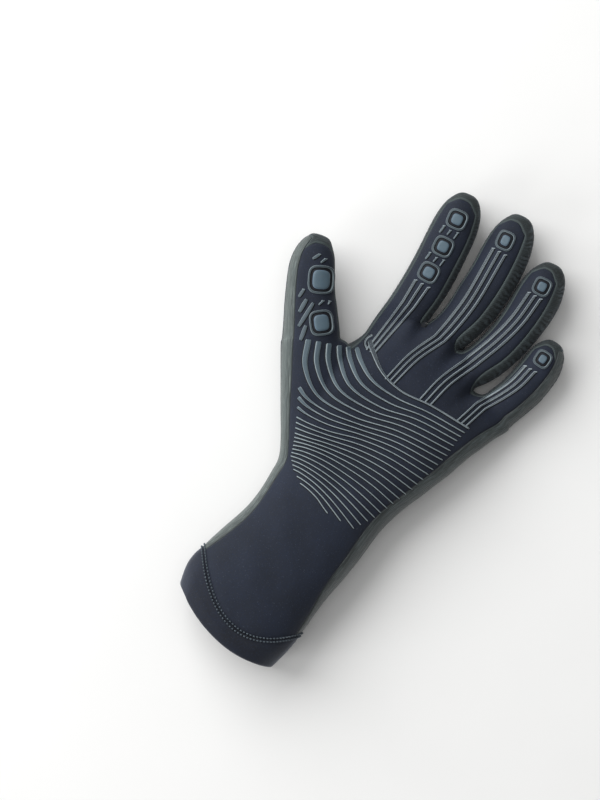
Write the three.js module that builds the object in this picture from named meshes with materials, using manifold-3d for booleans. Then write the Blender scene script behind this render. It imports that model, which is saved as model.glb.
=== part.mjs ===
// A five-finger diving glove for the left hand, lying on its back with the palm up.
//
// Millimetres. X points from the thumb to the little finger, Y from the cuff to the
// fingertips, Z up out of the palm. The origin is under the middle of the palm, on the
// flat patch of the back that the glove rests on.
//
// The skin is one net of four-sided meshes. Rows of the hand climb from the hem to the
// knuckles, and each row is a ring: palm, little-finger side, back and thumb side. The
// last row splits into the four fingers, and the thumb grows out of a patch of the thumb
// side. Panels are cut from this net along its own lines and get their wall inwards.

import * as THREE from 'three';
import Module from 'manifold-3d';

const wasm = await Module();
wasm.setup();

// Walls and clearances
const WALL = 2.8;
const HEM_WALL = 3.6;
const SEAM_GAP = 0.3;
const RELIEF_GAP = 0.3;

// Hand and cuff
const PALM_WIDTH = 105;
const PALM_LENGTH = 75;
const PALM_DEPTH = 42;
const HEEL_LENGTH = 45;
const CUFF_WIDTH = 74;
const CUFF_LENGTH = 105;
const CUFF_DEPTH = 48;
const PALM_HOLLOW = 3.5;
const PALM_HOLLOW_WIDTH = 50;
const PALM_HOLLOW_LENGTH = 82;
const BACK_PRESS = 1.2;

// Fingers and thumb
const INDEX = { length: 86.5, width: 28.5, depth: 25 };
const MIDDLE = { length: 88.5, width: 29.5, depth: 25 };
const RING = { length: 83.5, width: 29, depth: 24.5 };
const LITTLE = { length: 56, width: 27, depth: 23 };
const THUMB = { length: 58.5, width: 29, depth: 27 };
const FINGER_LIFT = 5;
const THUMB_HEIGHT = 21;
const THUMB_LIFT = 2;
const WEB_RISE = 3;
const TONGUE_ROUND = 8;

// Grip relief on the palm
const RIB_HEIGHT = 0.8;
const RIB_WIDTH = 1.9;
const STRIPE_WIDTH = 1.3;
const BORDER_RIB_END = 1.15;
const STRIPE_PITCH = 4;
const PAD_HEIGHT = 1.1;
const PAD_RING_HEIGHT = 0.9;
const PAD_RING_WIDTH = 1.3;
const PAD_GROOVE = 1.6;

// Steps of a ring: palm, little-finger side, back, thumb side
const PALM_STEPS = 16;
const SIDE_STEPS = 4;
const HAND_STEPS = 2 * (PALM_STEPS + SIDE_STEPS);
const FINGER_STEPS = PALM_STEPS / 4;
const BACK_START = PALM_STEPS + SIDE_STEPS;
const THUMB_ROWS = { first: 7, last: 13 };
const HEM_TOP_ROW = 2;
const CUFF_BACK_TOP_ROW = 4;

// Share of the palm's width, seam to seam, at which each finger begins and ends.
const FINGER_SPLITS = [0, 0.278, 0.539, 0.749, 1];

// Rows of the hand from the hem up. along: share of the zone's length at the thumb side
// and at the little-finger side. edge: the same two ends across, in shares of the zone's
// width. seam: how far the palm's edges lie inside these ends. back: how far the back's
// edges do. bow: how far the row sags towards the hem in its middle, on the palm and on
// the back. knuckle: share of the knuckle line's curve. pinch: depth kept between fingers.
const HAND_ROWS = [
  { zone: 'cuff', along: [0.819, 0.971], edge: [-0.77, 0.216], seam: [0.02, 0.04],
    back: [0.1, 0.1], bow: [0.08, 0.08], depth: 1, knuckle: 0, pinch: 1 },
  { zone: 'cuff', along: [0.695, 0.85], edge: [-0.797, 0.262], seam: [0.016, 0.04],
    back: [0.1, 0.1], bow: [0.155, 0.12], depth: 1, knuckle: 0, pinch: 1 },
  { zone: 'cuff', along: [0.571, 0.733], edge: [-0.757, 0.288], seam: [0.02, 0.035],
    back: [0.1, 0.1], bow: [0.229, 0.165], depth: 0.98, knuckle: 0, pinch: 1 },
  { zone: 'cuff', along: [0.41, 0.571], edge: [-0.682, 0.308], seam: [0.045, 0.045],
    back: [0.1, 0.1], bow: [0.13, 0.04], depth: 0.95, knuckle: 0, pinch: 1 },
  { zone: 'cuff', along: [0.257, 0.41], edge: [-0.608, 0.345], seam: [0.05, 0.085],
    back: [0.1, 0.1], bow: [0.06, -0.19], depth: 0.92, knuckle: 0, pinch: 1 },
  { zone: 'cuff', along: [0.114, 0.219], edge: [-0.581, 0.396], seam: [0.05, 0.105],
    back: [0.1, 0.1], bow: [0.02, -0.12], depth: 0.88, knuckle: 0, pinch: 1 },
  { zone: 'cuff', along: [0, 0.03], edge: [-0.581, 0.423], seam: [0.055, 0.11],
    back: [0.1, 0.1], bow: [0, -0.05], depth: 0.86, knuckle: 0, pinch: 1 },
  { zone: 'heel', along: [0.755, 0.66], edge: [-0.422, 0.343], seam: [0.05, 0.081],
    back: [0.065, 0.08], bow: [0, 0], depth: 0.96, knuckle: 0, pinch: 1 },
  { zone: 'heel', along: [0.47, 0.38], edge: [-0.514, 0.395], seam: [0.133, 0.081],
    back: [0.133, 0.08], bow: [0, 0], depth: 0.99, knuckle: 0, pinch: 1 },
  { zone: 'heel', along: [0.18, 0.13], edge: [-0.571, 0.438], seam: [0.19, 0.081],
    back: [0.19, 0.08], bow: [0, 0], depth: 1, knuckle: 0, pinch: 1 },
  { zone: 'palm', along: [0.067, 0.053], edge: [-0.61, 0.478], seam: [0.229, 0.081],
    back: [0.229, 0.08], bow: [0, 0], depth: 0.99, knuckle: 0.05, pinch: 1 },
  { zone: 'palm', along: [0.24, 0.173], edge: [-0.61, 0.507], seam: [0.229, 0.08],
    back: [0.229, 0.08], bow: [0, 0], depth: 0.96, knuckle: 0.13, pinch: 1 },
  { zone: 'palm', along: [0.413, 0.293], edge: [-0.533, 0.541], seam: [0.157, 0.08],
    back: [0.157, 0.08], bow: [0, 0], depth: 0.91, knuckle: 0.25, pinch: 1 },
  { zone: 'palm', along: [0.56, 0.4], edge: [-0.4, 0.575], seam: [0.04, 0.08],
    back: [0.06, 0.08], bow: [0, 0], depth: 0.84, knuckle: 0.42, pinch: 1 },
  { zone: 'palm', along: [0.68, 0.48], edge: [-0.348, 0.602], seam: [0.016, 0.078],
    back: [0.07, 0.08], bow: [0, 0], depth: 0.76, knuckle: 0.6, pinch: 0.97 },
  { zone: 'palm', along: [0.773, 0.547], edge: [-0.338, 0.627], seam: [0.014, 0.075],
    back: [0.07, 0.08], bow: [0, 0], depth: 0.68, knuckle: 0.82, pinch: 0.88 },
  { zone: 'palm', along: [0.88, 0.613], edge: [-0.333, 0.65], seam: [0.014, 0.07],
    back: [0.07, 0.08], bow: [0, 0], depth: 0.61, knuckle: 1, pinch: 0.5 },
];

// Rise of the knuckle line over the straight row at each split, in palm lengths.
const KNUCKLE_RISE = [0, 0.192, 0.203, 0.027, 0];
const BAND_KNUCKLE = 0.93;

// Zones of the hand: y where each starts, its direction and length, and its width.
const ZONES = {
  cuff: { start: -HEEL_LENGTH, reach: -CUFF_LENGTH, width: CUFF_WIDTH, depth: CUFF_DEPTH },
  heel: { start: 0, reach: -HEEL_LENGTH, width: PALM_WIDTH, depth: PALM_DEPTH },
  palm: { start: 0, reach: PALM_LENGTH, width: PALM_WIDTH, depth: PALM_DEPTH },
};
const HAND_ROUNDNESS = 2.3;
const FINGER_ROUNDNESS = 2.15;

// Branches. lean: how far the tip lies across from the root; bow: the spine's side bulge,
// greatest at bowAt; both in shares of the width. corners: angles, in degrees, of the ring's
// four corners: palm panel at the far and near side, then back. flare: root width. squeeze:
// how much its far and near side give way to the next finger at the root, until ease. turn:
// how far, in radians, its root ring is turned back towards the row that it grows from.
const FINGERS = [
  { name: 'index', size: INDEX, lean: -0.07, bow: 0.1, bowAt: 0.4,
    corners: [152, 46, -42, -140], flare: 0.97, squeeze: [0, 0.06], ease: 0.3,
    turn: 0 },
  { name: 'middle', size: MIDDLE, lean: 0.22, bow: 0.21, bowAt: 0.4,
    corners: [162, 64, -38, -142], flare: 0.95, squeeze: [0.15, 0.1], ease: 0.35,
    turn: 0 },
  { name: 'ring', size: RING, lean: 0.52, bow: 0.29, bowAt: 0.4,
    corners: [151, 63, -38, -142], flare: 0.95, squeeze: [0.12, 0.16], ease: 0.7,
    turn: 0.05 },
  { name: 'little', size: LITTLE, lean: 0.51, bow: 0.16, bowAt: 0.45,
    corners: [149, 62, -38, -140], flare: 1.1, squeeze: [0.2, 0], ease: 1,
    turn: 0.22 },
];
const THUMB_BRANCH = { name: 'thumb', size: THUMB, lean: -0.9, bow: -0.14, bowAt: 0.6,
  corners: [125, 15, -45, -145], flare: 1.24, squeeze: [0, 0], ease: 1,
  turn: 0.19 };
const THUMB_ROOT = [-0.586, 0.436];
const TURN_REACH = 0.4;
const THUMB_FAN_ROWS = 2;

// Rows of a branch. Body rows lie at shares of the length that the tip leaves; tip rows at
// shares of the width from the tip, and arch is their share of the tongue's round end.
const BODY_ROWS = [0.12, 0.34, 0.56, 0.78, 1];
const TIP_REACH = 1.1;
const TIP_ROUNDNESS = 2.4;
const TIP_ROWS = [
  { from: 0.72, arch: 0.3 },
  { from: 0.42, arch: 0.65 },
  { from: 0.17, arch: 1 },
  { from: 0.07, arch: 0.25 },
];
const NAVY_ROWS = BODY_ROWS.length + 3;

// Colours of the laminated cloth and the printed relief
const NAVY = new THREE.MeshStandardMaterial({ color: 0x2b3142, roughness: 0.85 });
const DARK_NAVY = new THREE.MeshStandardMaterial({ color: 0x151b24, roughness: 0.85 });
const GREY = new THREE.MeshStandardMaterial({ color: 0x3c4141, roughness: 0.9 });
const STRIP_GREY = new THREE.MeshStandardMaterial({ color: 0x5c6462, roughness: 0.7 });
const BAND_GREY = new THREE.MeshStandardMaterial({ color: 0x343b41, roughness: 0.85 });
const RELIEF = new THREE.MeshStandardMaterial({ color: 0x8d989c, roughness: 0.45 });
const PAD_BLUE = new THREE.MeshStandardMaterial({ color: 0x6f828b, roughness: 0.5 });

const glove = new THREE.Group();

function mix(a, b, share) {
  return a + (b - a) * share;
}

function mixPoints(a, b, share) {
  return a.map((value, i) => mix(value, b[i], share));
}

function signedPower(value, power) {
  return Math.sign(value) * Math.abs(value) ** power;
}

// Smooth curve through shares at the finger splits, level at each split.
function acrossSplits(values, share) {
  let k = 0;
  while (k < FINGER_SPLITS.length - 2 && share > FINGER_SPLITS[k + 1]) {
    k += 1;
  }
  const t = (share - FINGER_SPLITS[k]) / (FINGER_SPLITS[k + 1] - FINGER_SPLITS[k]);
  return mix(values[k], values[k + 1], (1 - Math.cos(Math.PI * t)) / 2);
}

// Share of the palm's width at one of its steps, spread evenly inside each finger.
function palmShare(step) {
  const k = Math.min(Math.floor(step / FINGER_STEPS), FINGER_SPLITS.length - 2);
  return mix(FINGER_SPLITS[k], FINGER_SPLITS[k + 1], step / FINGER_STEPS - k);
}

// One ring of the hand: a squarish ellipse with its points where the seams need them.
function handRing(row, index) {
  const zone = ZONES[row.zone];
  const [x0, x1] = row.edge.map((share) => share * zone.width);
  const [y0, y1] = row.along.map((share) => zone.start + share * zone.reach);
  const centre = (x0 + x1) / 2;
  const halfWidth = (x1 - x0) / 2;
  const depth = row.depth * zone.depth;
  const halfDepth = depth / 2;
  const middle = halfDepth - BACK_PRESS;
  const angleAt = (inset) => Math.acos(signedPower(1 - inset / halfWidth, HAND_ROUNDNESS / 2));
  const insets = [...row.seam, ...row.back].map((share) => share * zone.width);
  const [palmLeft, palmRight, backLeft, backRight] = insets.map(angleAt);
  const seamX = [x0 + insets[0], x1 - insets[1], x0 + insets[2], x1 - insets[3]];
  const ring = [];
  for (let step = 0; step < HAND_STEPS; step += 1) {
    const onPalm = step <= PALM_STEPS;
    const onBack = step >= BACK_START && step <= BACK_START + PALM_STEPS;
    let x;
    let angle;
    if (onPalm || onBack) {
      const share = palmShare(onPalm ? step : BACK_START + PALM_STEPS - step);
      x = onPalm ? mix(seamX[0], seamX[1], share) : mix(seamX[2], seamX[3], share);
      const across = Math.max(-1, Math.min(1, (x - centre) / halfWidth));
      angle = Math.acos(signedPower(across, HAND_ROUNDNESS / 2)) * (onPalm ? 1 : -1);
    } else if (step < BACK_START) {
      angle = mix(palmRight, -backRight, (step - PALM_STEPS) / SIDE_STEPS);
      x = centre + halfWidth * signedPower(Math.cos(angle), 2 / HAND_ROUNDNESS);
    } else {
      const share = (step - BACK_START - PALM_STEPS) / SIDE_STEPS;
      angle = mix(-Math.PI + backLeft, -Math.PI - palmLeft, share);
      x = centre + halfWidth * signedPower(Math.cos(angle), 2 / HAND_ROUNDNESS);
    }
    const across = (x - centre) / halfWidth;
    const share = Math.max(0, Math.min(1, (x - x0) / (x1 - x0)));
    const between = onPalm ? step : BACK_START + PALM_STEPS - step;
    const split = onPalm || onBack ? palmShare(between) : Math.round(share);
    const bow = (onPalm ? row.bow[0] : row.bow[1]) * CUFF_LENGTH * (1 - across ** 2);
    const banded = index === HAND_ROWS.length - 2 && onBack;
    const knuckle = (banded ? BAND_KNUCKLE : row.knuckle) * PALM_LENGTH;
    const y = mix(y0, y1, share) - bow + knuckle * acrossSplits(KNUCKLE_RISE, split);
    let z = halfDepth * signedPower(Math.sin(angle), 2 / HAND_ROUNDNESS);
    if ((onPalm || onBack) && between % FINGER_STEPS === 0 && between % PALM_STEPS !== 0) {
      z *= row.pinch;
    }
    z += middle;
    if (onPalm && row.zone !== 'cuff') {
      const spread = ((x - centre) / (PALM_HOLLOW_WIDTH / 2)) ** 2
        + (y / (PALM_HOLLOW_LENGTH / 2)) ** 2;
      z -= PALM_HOLLOW * Math.exp(-spread);
    }
    ring.push([x, y, Math.max(z, 0)]);
  }
  return ring;
}

// Share of full width at a distance from the tip, in widths: a squarish dome.
function tipTaper(distance) {
  const t = Math.max(0, 1 - distance / TIP_REACH);
  return Math.max(0, 1 - t ** TIP_ROUNDNESS) ** (1 / TIP_ROUNDNESS);
}

const SLOPE_STEP = 0.01;

// Spine, side direction and half sizes of a branch at a distance from its root, where the
// whole length is 1. The spine leans to its side and bulges once.
function branchFrame(branch, share) {
  const { length, width, depth } = branch.size;
  const power = Math.log(0.5) / Math.log(branch.bowAt);
  const spineX = (s) => branch.root[0] + width
    * (branch.lean * s + branch.bow * Math.sin(Math.PI * Math.min(s, 1) ** power));
  const [before, after] = [Math.max(share - SLOPE_STEP, 0), share + SLOPE_STEP];
  const slope = (spineX(after) - spineX(before)) / ((after - before) * length);
  const turn = branch.turn * Math.max(0, 1 - share / TURN_REACH);
  const heading = Math.atan(slope) - turn;
  const flare = mix(branch.flare, 1, Math.min(share / branch.flareReach, 1));
  const taper = tipTaper((1 - share) * length / width);
  return {
    centre: [spineX(share), branch.root[1] + share * length],
    side: [Math.cos(heading), -Math.sin(heading)],
    halfWidth: width / 2 * flare * taper,
    halfDepth: depth / 2 * mix(branch.deepen, 1, Math.min(share / branch.flareReach, 1)) * taper,
    height: branch.height(share),
  };
}

// Point of a branch's skin at a share of its length and an angle round its section.
function branchPoint(branch, share, degrees) {
  const frame = branchFrame(branch, share);
  const angle = degrees * Math.PI / 180;
  const squeeze = branch.squeeze[Math.cos(angle) < 0 ? 0 : 1];
  const give = 1 - squeeze * Math.max(0, 1 - (share / branch.ease) ** 2);
  const across = give * frame.halfWidth * signedPower(Math.cos(angle), 2 / FINGER_ROUNDNESS);
  const up = frame.halfDepth * signedPower(Math.sin(angle), 2 / FINGER_ROUNDNESS);
  return [
    frame.centre[0] + across * frame.side[0],
    frame.centre[1] + across * frame.side[1],
    Math.max(frame.height + up, 0),
  ];
}

// Angles of a branch's ring, spread evenly between its four corners.
function branchAngles(branch) {
  const turns = [...branch.corners, branch.corners[0] - 360];
  return branch.sides.flatMap((steps, k) => (
    Array.from({ length: steps }, (_, i) => mix(turns[k], turns[k + 1], i / steps))));
}

// How far each point of a tip row lags behind the middle of the palm's tongue.
function tongueLag(branch) {
  const [palm, near, back, far] = branch.sides;
  return branchAngles(branch).map((_, i) => {
    if (i <= palm) {
      return (2 * i / palm - 1) ** 2;
    }
    if (i <= palm + near) {
      return 1 - (i - palm) / near;
    }
    return Math.max(0, (i - palm - near - back) / far);
  });
}

// All rings of a branch above its root ring.
function branchRings(branch) {
  const { length, width } = branch.size;
  const angles = branchAngles(branch);
  const lag = tongueLag(branch);
  const tipStart = 1 - TIP_REACH * width / length;
  const rings = BODY_ROWS.filter((share) => share * tipStart >= branch.firstRow)
    .map((share) => angles.map((angle) => branchPoint(branch, share * tipStart, angle)));
  TIP_ROWS.forEach((row) => {
    const share = 1 - row.from * width / length;
    rings.push(angles.map((angle, i) => (
      branchPoint(branch, share - row.arch * lag[i] * TONGUE_ROUND / length, angle))));
  });
  return rings;
}

// The skin: points, and faces tagged with the panel that they belong to.
const points = [];
const faces = [];

function addPoint(point) {
  points.push(point);
  return points.length - 1;
}

function addFace(corners, panel) {
  faces.push({ corners, panel });
}

function handPanel(row, step) {
  if (row < HEM_TOP_ROW) {
    return 'hem';
  }
  if (step < PALM_STEPS) {
    return 'palm_panel';
  }
  if (step < PALM_STEPS + SIDE_STEPS / 2) {
    return 'side_strip_little';
  }
  if (step >= HAND_STEPS - SIDE_STEPS / 2 && row < THUMB_ROWS.last) {
    return 'side_strip_thumb';
  }
  if (row < CUFF_BACK_TOP_ROW) {
    return 'cuff_back';
  }
  const finger = (step - BACK_START) / FINGER_STEPS;
  const underMiddleFingers = finger >= 1 && finger < 3;
  return row === HAND_ROWS.length - 2 && underMiddleFingers ? 'knuckle_band' : 'hand_back';
}

const BACK_PANELS = {
  index: 'index_finger_back',
  middle: 'middle_finger_back',
  ring: 'ring_finger_back',
  little: 'little_finger_back',
  thumb: 'thumb_back',
};

function branchPanel(branch, row, step) {
  const [palm, near] = branch.sides;
  const steps = branch.steps;
  if (step < palm && row < branch.navyRows) {
    return 'palm_panel';
  }
  if (branch.name === 'little' && step >= palm && step < palm + near / 2) {
    return 'side_strip_little';
  }
  if (branch.name === 'thumb' && step >= steps - SIDE_STEPS / 2) {
    return 'side_strip_thumb';
  }
  return BACK_PANELS[branch.name];
}

// Closes a branch's tip with a grid stretched over its last ring, domed along the spine.
function addCap(branch, ring) {
  const [wide, deep] = branch.sides;
  const at = (i, j) => {
    if (j === 0) {
      return ring[i];
    }
    if (i === wide) {
      return ring[wide + j];
    }
    if (j === deep) {
      return ring[wide + deep + (wide - i)];
    }
    return ring[(2 * wide + deep + (deep - j)) % ring.length];
  };
  const frame = branchFrame(branch, 1 - TIP_ROWS[TIP_ROWS.length - 1].from
    * branch.size.width / branch.size.length);
  const ahead = [-frame.side[1], frame.side[0]];
  const dome = TIP_ROWS[TIP_ROWS.length - 1].from * branch.size.width;
  const grid = [];
  for (let j = 0; j <= deep; j += 1) {
    const line = [];
    for (let i = 0; i <= wide; i += 1) {
      if (i === 0 || j === 0 || i === wide || j === deep) {
        line.push(at(i, j));
      } else {
        const u = i / wide;
        const v = j / deep;
        const point = [0, 1, 2].map((axis) => {
          const p = (a, b) => points[at(a, b)][axis];
          return mix(p(0, j), p(wide, j), u) + mix(p(i, 0), p(i, deep), v)
            - mix(mix(p(0, 0), p(wide, 0), u), mix(p(0, deep), p(wide, deep), u), v);
        });
        const rise = dome * (16 * u * (1 - u) * v * (1 - v)) ** 0.5;
        line.push(addPoint([point[0] + ahead[0] * rise, point[1] + ahead[1] * rise, point[2]]));
      }
    }
    grid.push(line);
  }
  for (let j = 0; j < deep; j += 1) {
    for (let i = 0; i < wide; i += 1) {
      addFace([grid[j][i], grid[j][i + 1], grid[j + 1][i + 1], grid[j + 1][i]],
        BACK_PANELS[branch.name]);
    }
  }
}

// Joins a stack of rings, the first of which is already on the hand, and closes the tip.
function addBranch(branch, root, rings) {
  const stack = [root, ...rings.map((ring) => ring.map(addPoint))];
  for (let row = 0; row + 1 < stack.length; row += 1) {
    for (let i = 0; i < branch.steps; i += 1) {
      const j = (i + 1) % branch.steps;
      addFace([stack[row][i], stack[row][j], stack[row + 1][j], stack[row + 1][i]],
        branchPanel(branch, row, i));
    }
  }
  addCap(branch, stack[stack.length - 1]);
}

// Hand
const rows = HAND_ROWS.map((row, index) => handRing(row, index).map(addPoint));
for (let row = 0; row + 1 < rows.length; row += 1) {
  for (let step = 0; step < HAND_STEPS; step += 1) {
    const next = (step + 1) % HAND_STEPS;
    const underThumb = row >= THUMB_ROWS.first && row < THUMB_ROWS.last
      && step >= BACK_START + PALM_STEPS;
    if (!underThumb) {
      addFace([rows[row][step], rows[row][next], rows[row + 1][next], rows[row + 1][step]],
        handPanel(row, step));
    }
  }
}

// Webs: three points between two fingers, from the palm to the back, bulging to the tips
const knuckles = rows[rows.length - 1];
const webs = [1, 2, 3].map((k) => {
  const top = knuckles[k * FINGER_STEPS];
  const bottom = knuckles[BACK_START + PALM_STEPS - k * FINGER_STEPS];
  const between = [];
  for (let i = 1; i < SIDE_STEPS; i += 1) {
    const share = i / SIDE_STEPS;
    const point = mixPoints(points[top], points[bottom], share);
    point[1] += WEB_RISE * 4 * share * (1 - share);
    between.push(addPoint(point));
  }
  return [top, ...between, bottom];
});

// Fingers
FINGERS.forEach((finger, k) => {
  const palm = knuckles.slice(k * FINGER_STEPS, (k + 1) * FINGER_STEPS);
  const backFrom = BACK_START + PALM_STEPS - (k + 1) * FINGER_STEPS;
  const back = knuckles.slice(backFrom, backFrom + FINGER_STEPS);
  const near = k < 3 ? webs[k].slice(0, SIDE_STEPS)
    : knuckles.slice(PALM_STEPS, PALM_STEPS + SIDE_STEPS);
  const far = k > 0 ? [...webs[k - 1]].reverse().slice(0, SIDE_STEPS)
    : knuckles.slice(BACK_START + PALM_STEPS);
  const root = [...palm, ...near, ...back, ...far];
  const left = points[k > 0 ? palm[0] : far[SIDE_STEPS / 2]];
  const right = points[k < 3 ? near[0] : near[SIDE_STEPS / 2]];
  const halfDepth = finger.size.depth / 2;
  Object.assign(finger, {
    sides: [FINGER_STEPS, SIDE_STEPS, FINGER_STEPS, SIDE_STEPS],
    steps: root.length,
    root: mixPoints(left, right, 0.5),
    flareReach: 0.2,
    deepen: 1,
    firstRow: 0,
    navyRows: NAVY_ROWS,
    height: (share) => halfDepth - BACK_PRESS / 2 + FINGER_LIFT * share ** 2,
  });
  addBranch(finger, root, branchRings(finger));
});

// Thumb: its ring climbs the palm side of the patch, crosses the web, comes down the back
// and closes round the outer edge
const { first, last } = THUMB_ROWS;
const thumbRows = rows.slice(first, last + 1);
const thumbRoot = [
  ...thumbRows.slice(0, -1).map((row) => row[0]),
  rows[last][0],
  ...rows[last].slice(BACK_START + PALM_STEPS + 1).reverse(),
  ...[...thumbRows].reverse().slice(0, -1).map((row) => row[BACK_START + PALM_STEPS]),
  ...rows[first].slice(BACK_START + PALM_STEPS),
];
Object.assign(THUMB_BRANCH, {
  sides: [last - first, SIDE_STEPS, last - first, SIDE_STEPS],
  steps: thumbRoot.length,
  root: [THUMB_ROOT[0] * PALM_WIDTH, THUMB_ROOT[1] * PALM_LENGTH],
  flareReach: 0.5,
  deepen: 1.28,
  firstRow: 0.05,
  navyRows: THUMB_FAN_ROWS + NAVY_ROWS + 1,
  height: (share) => THUMB_HEIGHT + THUMB_LIFT * share,
});
const thumbAngles = branchAngles(THUMB_BRANCH);
const thumbBase = thumbAngles.map((angle) => branchPoint(THUMB_BRANCH, 0, angle));
const thumbFan = [];
for (let k = 1; k <= THUMB_FAN_ROWS; k += 1) {
  thumbFan.push(thumbBase.map((point, i) => (
    mixPoints(points[thumbRoot[i]], point, k / (THUMB_FAN_ROWS + 1)))));
}
addBranch(THUMB_BRANCH, thumbRoot, [...thumbFan, thumbBase, ...branchRings(THUMB_BRANCH)]);

// Normals of the whole skin, so that panels that meet agree at their seam.
function faceNormal(corners) {
  const [a, b, c, d] = corners.map((i) => new THREE.Vector3(...points[i]));
  return c.sub(a).cross(d.sub(b)).multiplyScalar(0.5);
}

const normals = points.map(() => new THREE.Vector3());
const panelsAt = points.map(() => new Set());
faces.forEach(({ corners, panel }) => {
  const normal = faceNormal(corners);
  corners.forEach((i) => {
    normals[i].add(normal);
    panelsAt[i].add(panel);
  });
});
normals.forEach((normal) => normal.normalize());

// A closed mesh from points and triangles.
function solid(name, positions, triangles, material) {
  const geometry = new THREE.BufferGeometry();
  geometry.setAttribute('position', new THREE.Float32BufferAttribute(positions.flat(), 3));
  geometry.setIndex(triangles.flat());
  geometry.computeVertexNormals();
  const mesh = new THREE.Mesh(geometry, material.clone());
  mesh.name = name;
  glove.add(mesh);
}

// A quad as two triangles, split along its shorter diagonal.
function splitQuad([a, b, c, d], place) {
  const [pa, pb, pc, pd] = [a, b, c, d].map((i) => new THREE.Vector3(...place[i]));
  return pa.distanceTo(pc) <= pb.distanceTo(pd) ? [[a, b, c], [a, c, d]] : [[a, b, d], [b, c, d]];
}

// How far a panel's edge is drawn back from a seam, and where three panels meet, in gaps.
const EDGE_PULL = 0.6;
const CORNER_PULL = 1.4;

// A panel: its faces outside, the same faces a wall further in, and its edges closed. The
// edge is drawn back by half the seam gap, and its wall is split as the next panel's is.
function addPanel(name, wall, material) {
  const own = faces.filter((face) => face.panel === name).map((face) => face.corners);
  const used = [...new Set(own.flat())];
  const local = new Map(used.map((i, k) => [i, k]));
  const key = (a, b) => a * points.length + b;
  const directed = new Set();
  own.forEach((quad) => quad.forEach((a, k) => directed.add(key(a, quad[(k + 1) % 4]))));
  const edges = [];
  own.forEach((quad) => quad.forEach((a, k) => {
    const b = quad[(k + 1) % 4];
    if (!directed.has(key(b, a))) {
      edges.push([a, b]);
    }
  }));
  const onEdge = new Set(edges.flat());
  const inward = new Map([...onEdge].map((i) => [i, new THREE.Vector3()]));
  edges.forEach(([a, b]) => {
    const along = new THREE.Vector3(...points[b]).sub(new THREE.Vector3(...points[a]));
    along.normalize();
    [a, b].forEach((i) => inward.get(i).add(normals[i].clone().cross(along)));
  });
  const outer = used.map((i) => {
    const place = new THREE.Vector3(...points[i]);
    if (onEdge.has(i)) {
      const gap = SEAM_GAP * (panelsAt[i].size > 2 ? CORNER_PULL : EDGE_PULL);
      place.add(inward.get(i).setLength(gap));
    }
    return place;
  });
  const inner = used.map((i, k) => outer[k].clone().addScaledVector(normals[i], -wall));
  const positions = [...outer, ...inner].map((p) => p.toArray());
  const count = used.length;
  const triangles = [];
  own.forEach((quad) => {
    splitQuad(quad.map((i) => local.get(i)), positions).forEach(([a, b, c]) => {
      triangles.push([a, b, c], [c + count, b + count, a + count]);
    });
  });
  edges.forEach(([a, b]) => {
    const [i, j] = [local.get(a), local.get(b)];
    if (a < b) {
      triangles.push([j, i, j + count], [i, i + count, j + count]);
    } else {
      triangles.push([j, i, i + count], [j, i + count, j + count]);
    }
  });
  solid(name, positions, triangles, material);
}

addPanel('palm_panel', WALL, NAVY);
addPanel('hand_back', WALL, GREY);
Object.values(BACK_PANELS).forEach((name) => addPanel(name, WALL, GREY));
addPanel('knuckle_band', WALL, BAND_GREY);
addPanel('cuff_back', WALL, DARK_NAVY);
addPanel('side_strip_thumb', WALL, STRIP_GREY);
addPanel('side_strip_little', WALL, STRIP_GREY);
addPanel('hem', HEM_WALL, NAVY);

const EDGE_SLACK = 1e-6;
const SEAT_SAMPLES = [0.15, 0.3, 0.5, 0.7, 0.85];

// Height of the skin under a place of the plan, seen from above.
function skinHeight(x, y) {
  let highest = -Infinity;
  palmTriangles.forEach(([a, b, c]) => {
    const area = (b[0] - a[0]) * (c[1] - a[1]) - (c[0] - a[0]) * (b[1] - a[1]);
    const u = ((b[0] - x) * (c[1] - y) - (c[0] - x) * (b[1] - y)) / area;
    const v = ((c[0] - x) * (a[1] - y) - (a[0] - x) * (c[1] - y)) / area;
    if (u >= -EDGE_SLACK && v >= -EDGE_SLACK && u + v <= 1 + EDGE_SLACK) {
      highest = Math.max(highest, u * a[2] + v * b[2] + (1 - u - v) * c[2]);
    }
  });
  return highest;
}

const palmTriangles = faces
  .flatMap((face) => splitQuad(face.corners, points))
  .map((triangle) => triangle.map((i) => points[i]))
  .filter(([a, b, c]) => (b[0] - a[0]) * (c[1] - a[1]) - (c[0] - a[0]) * (b[1] - a[1]) > 0);

// Evenly spaced places on a smooth curve through points of the palm's plan.
function planCurve(places, steps) {
  const nodes = places.map(([x, y]) => new THREE.Vector3(x, y, 0));
  return new THREE.CatmullRomCurve3(nodes, false, 'centripetal').getSpacedPoints(steps)
    .map((place) => [place.x, place.y]);
}

// Heights of stations on the skin. Each stretch between two of them is lifted until the
// skin under it stays clear.
function seat(stations, stretches) {
  const seats = stations.map(([x, y]) => skinHeight(x, y) + RELIEF_GAP);
  stretches.forEach(([i, j]) => {
    SEAT_SAMPLES.forEach((share) => {
      const [x, y] = mixPoints(stations[i], stations[j], share);
      const short = skinHeight(x, y) + RELIEF_GAP - mix(seats[i], seats[j], share);
      if (short > 0) {
        seats[i] += short;
        seats[j] += short;
      }
    });
  });
  return seats;
}

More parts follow.
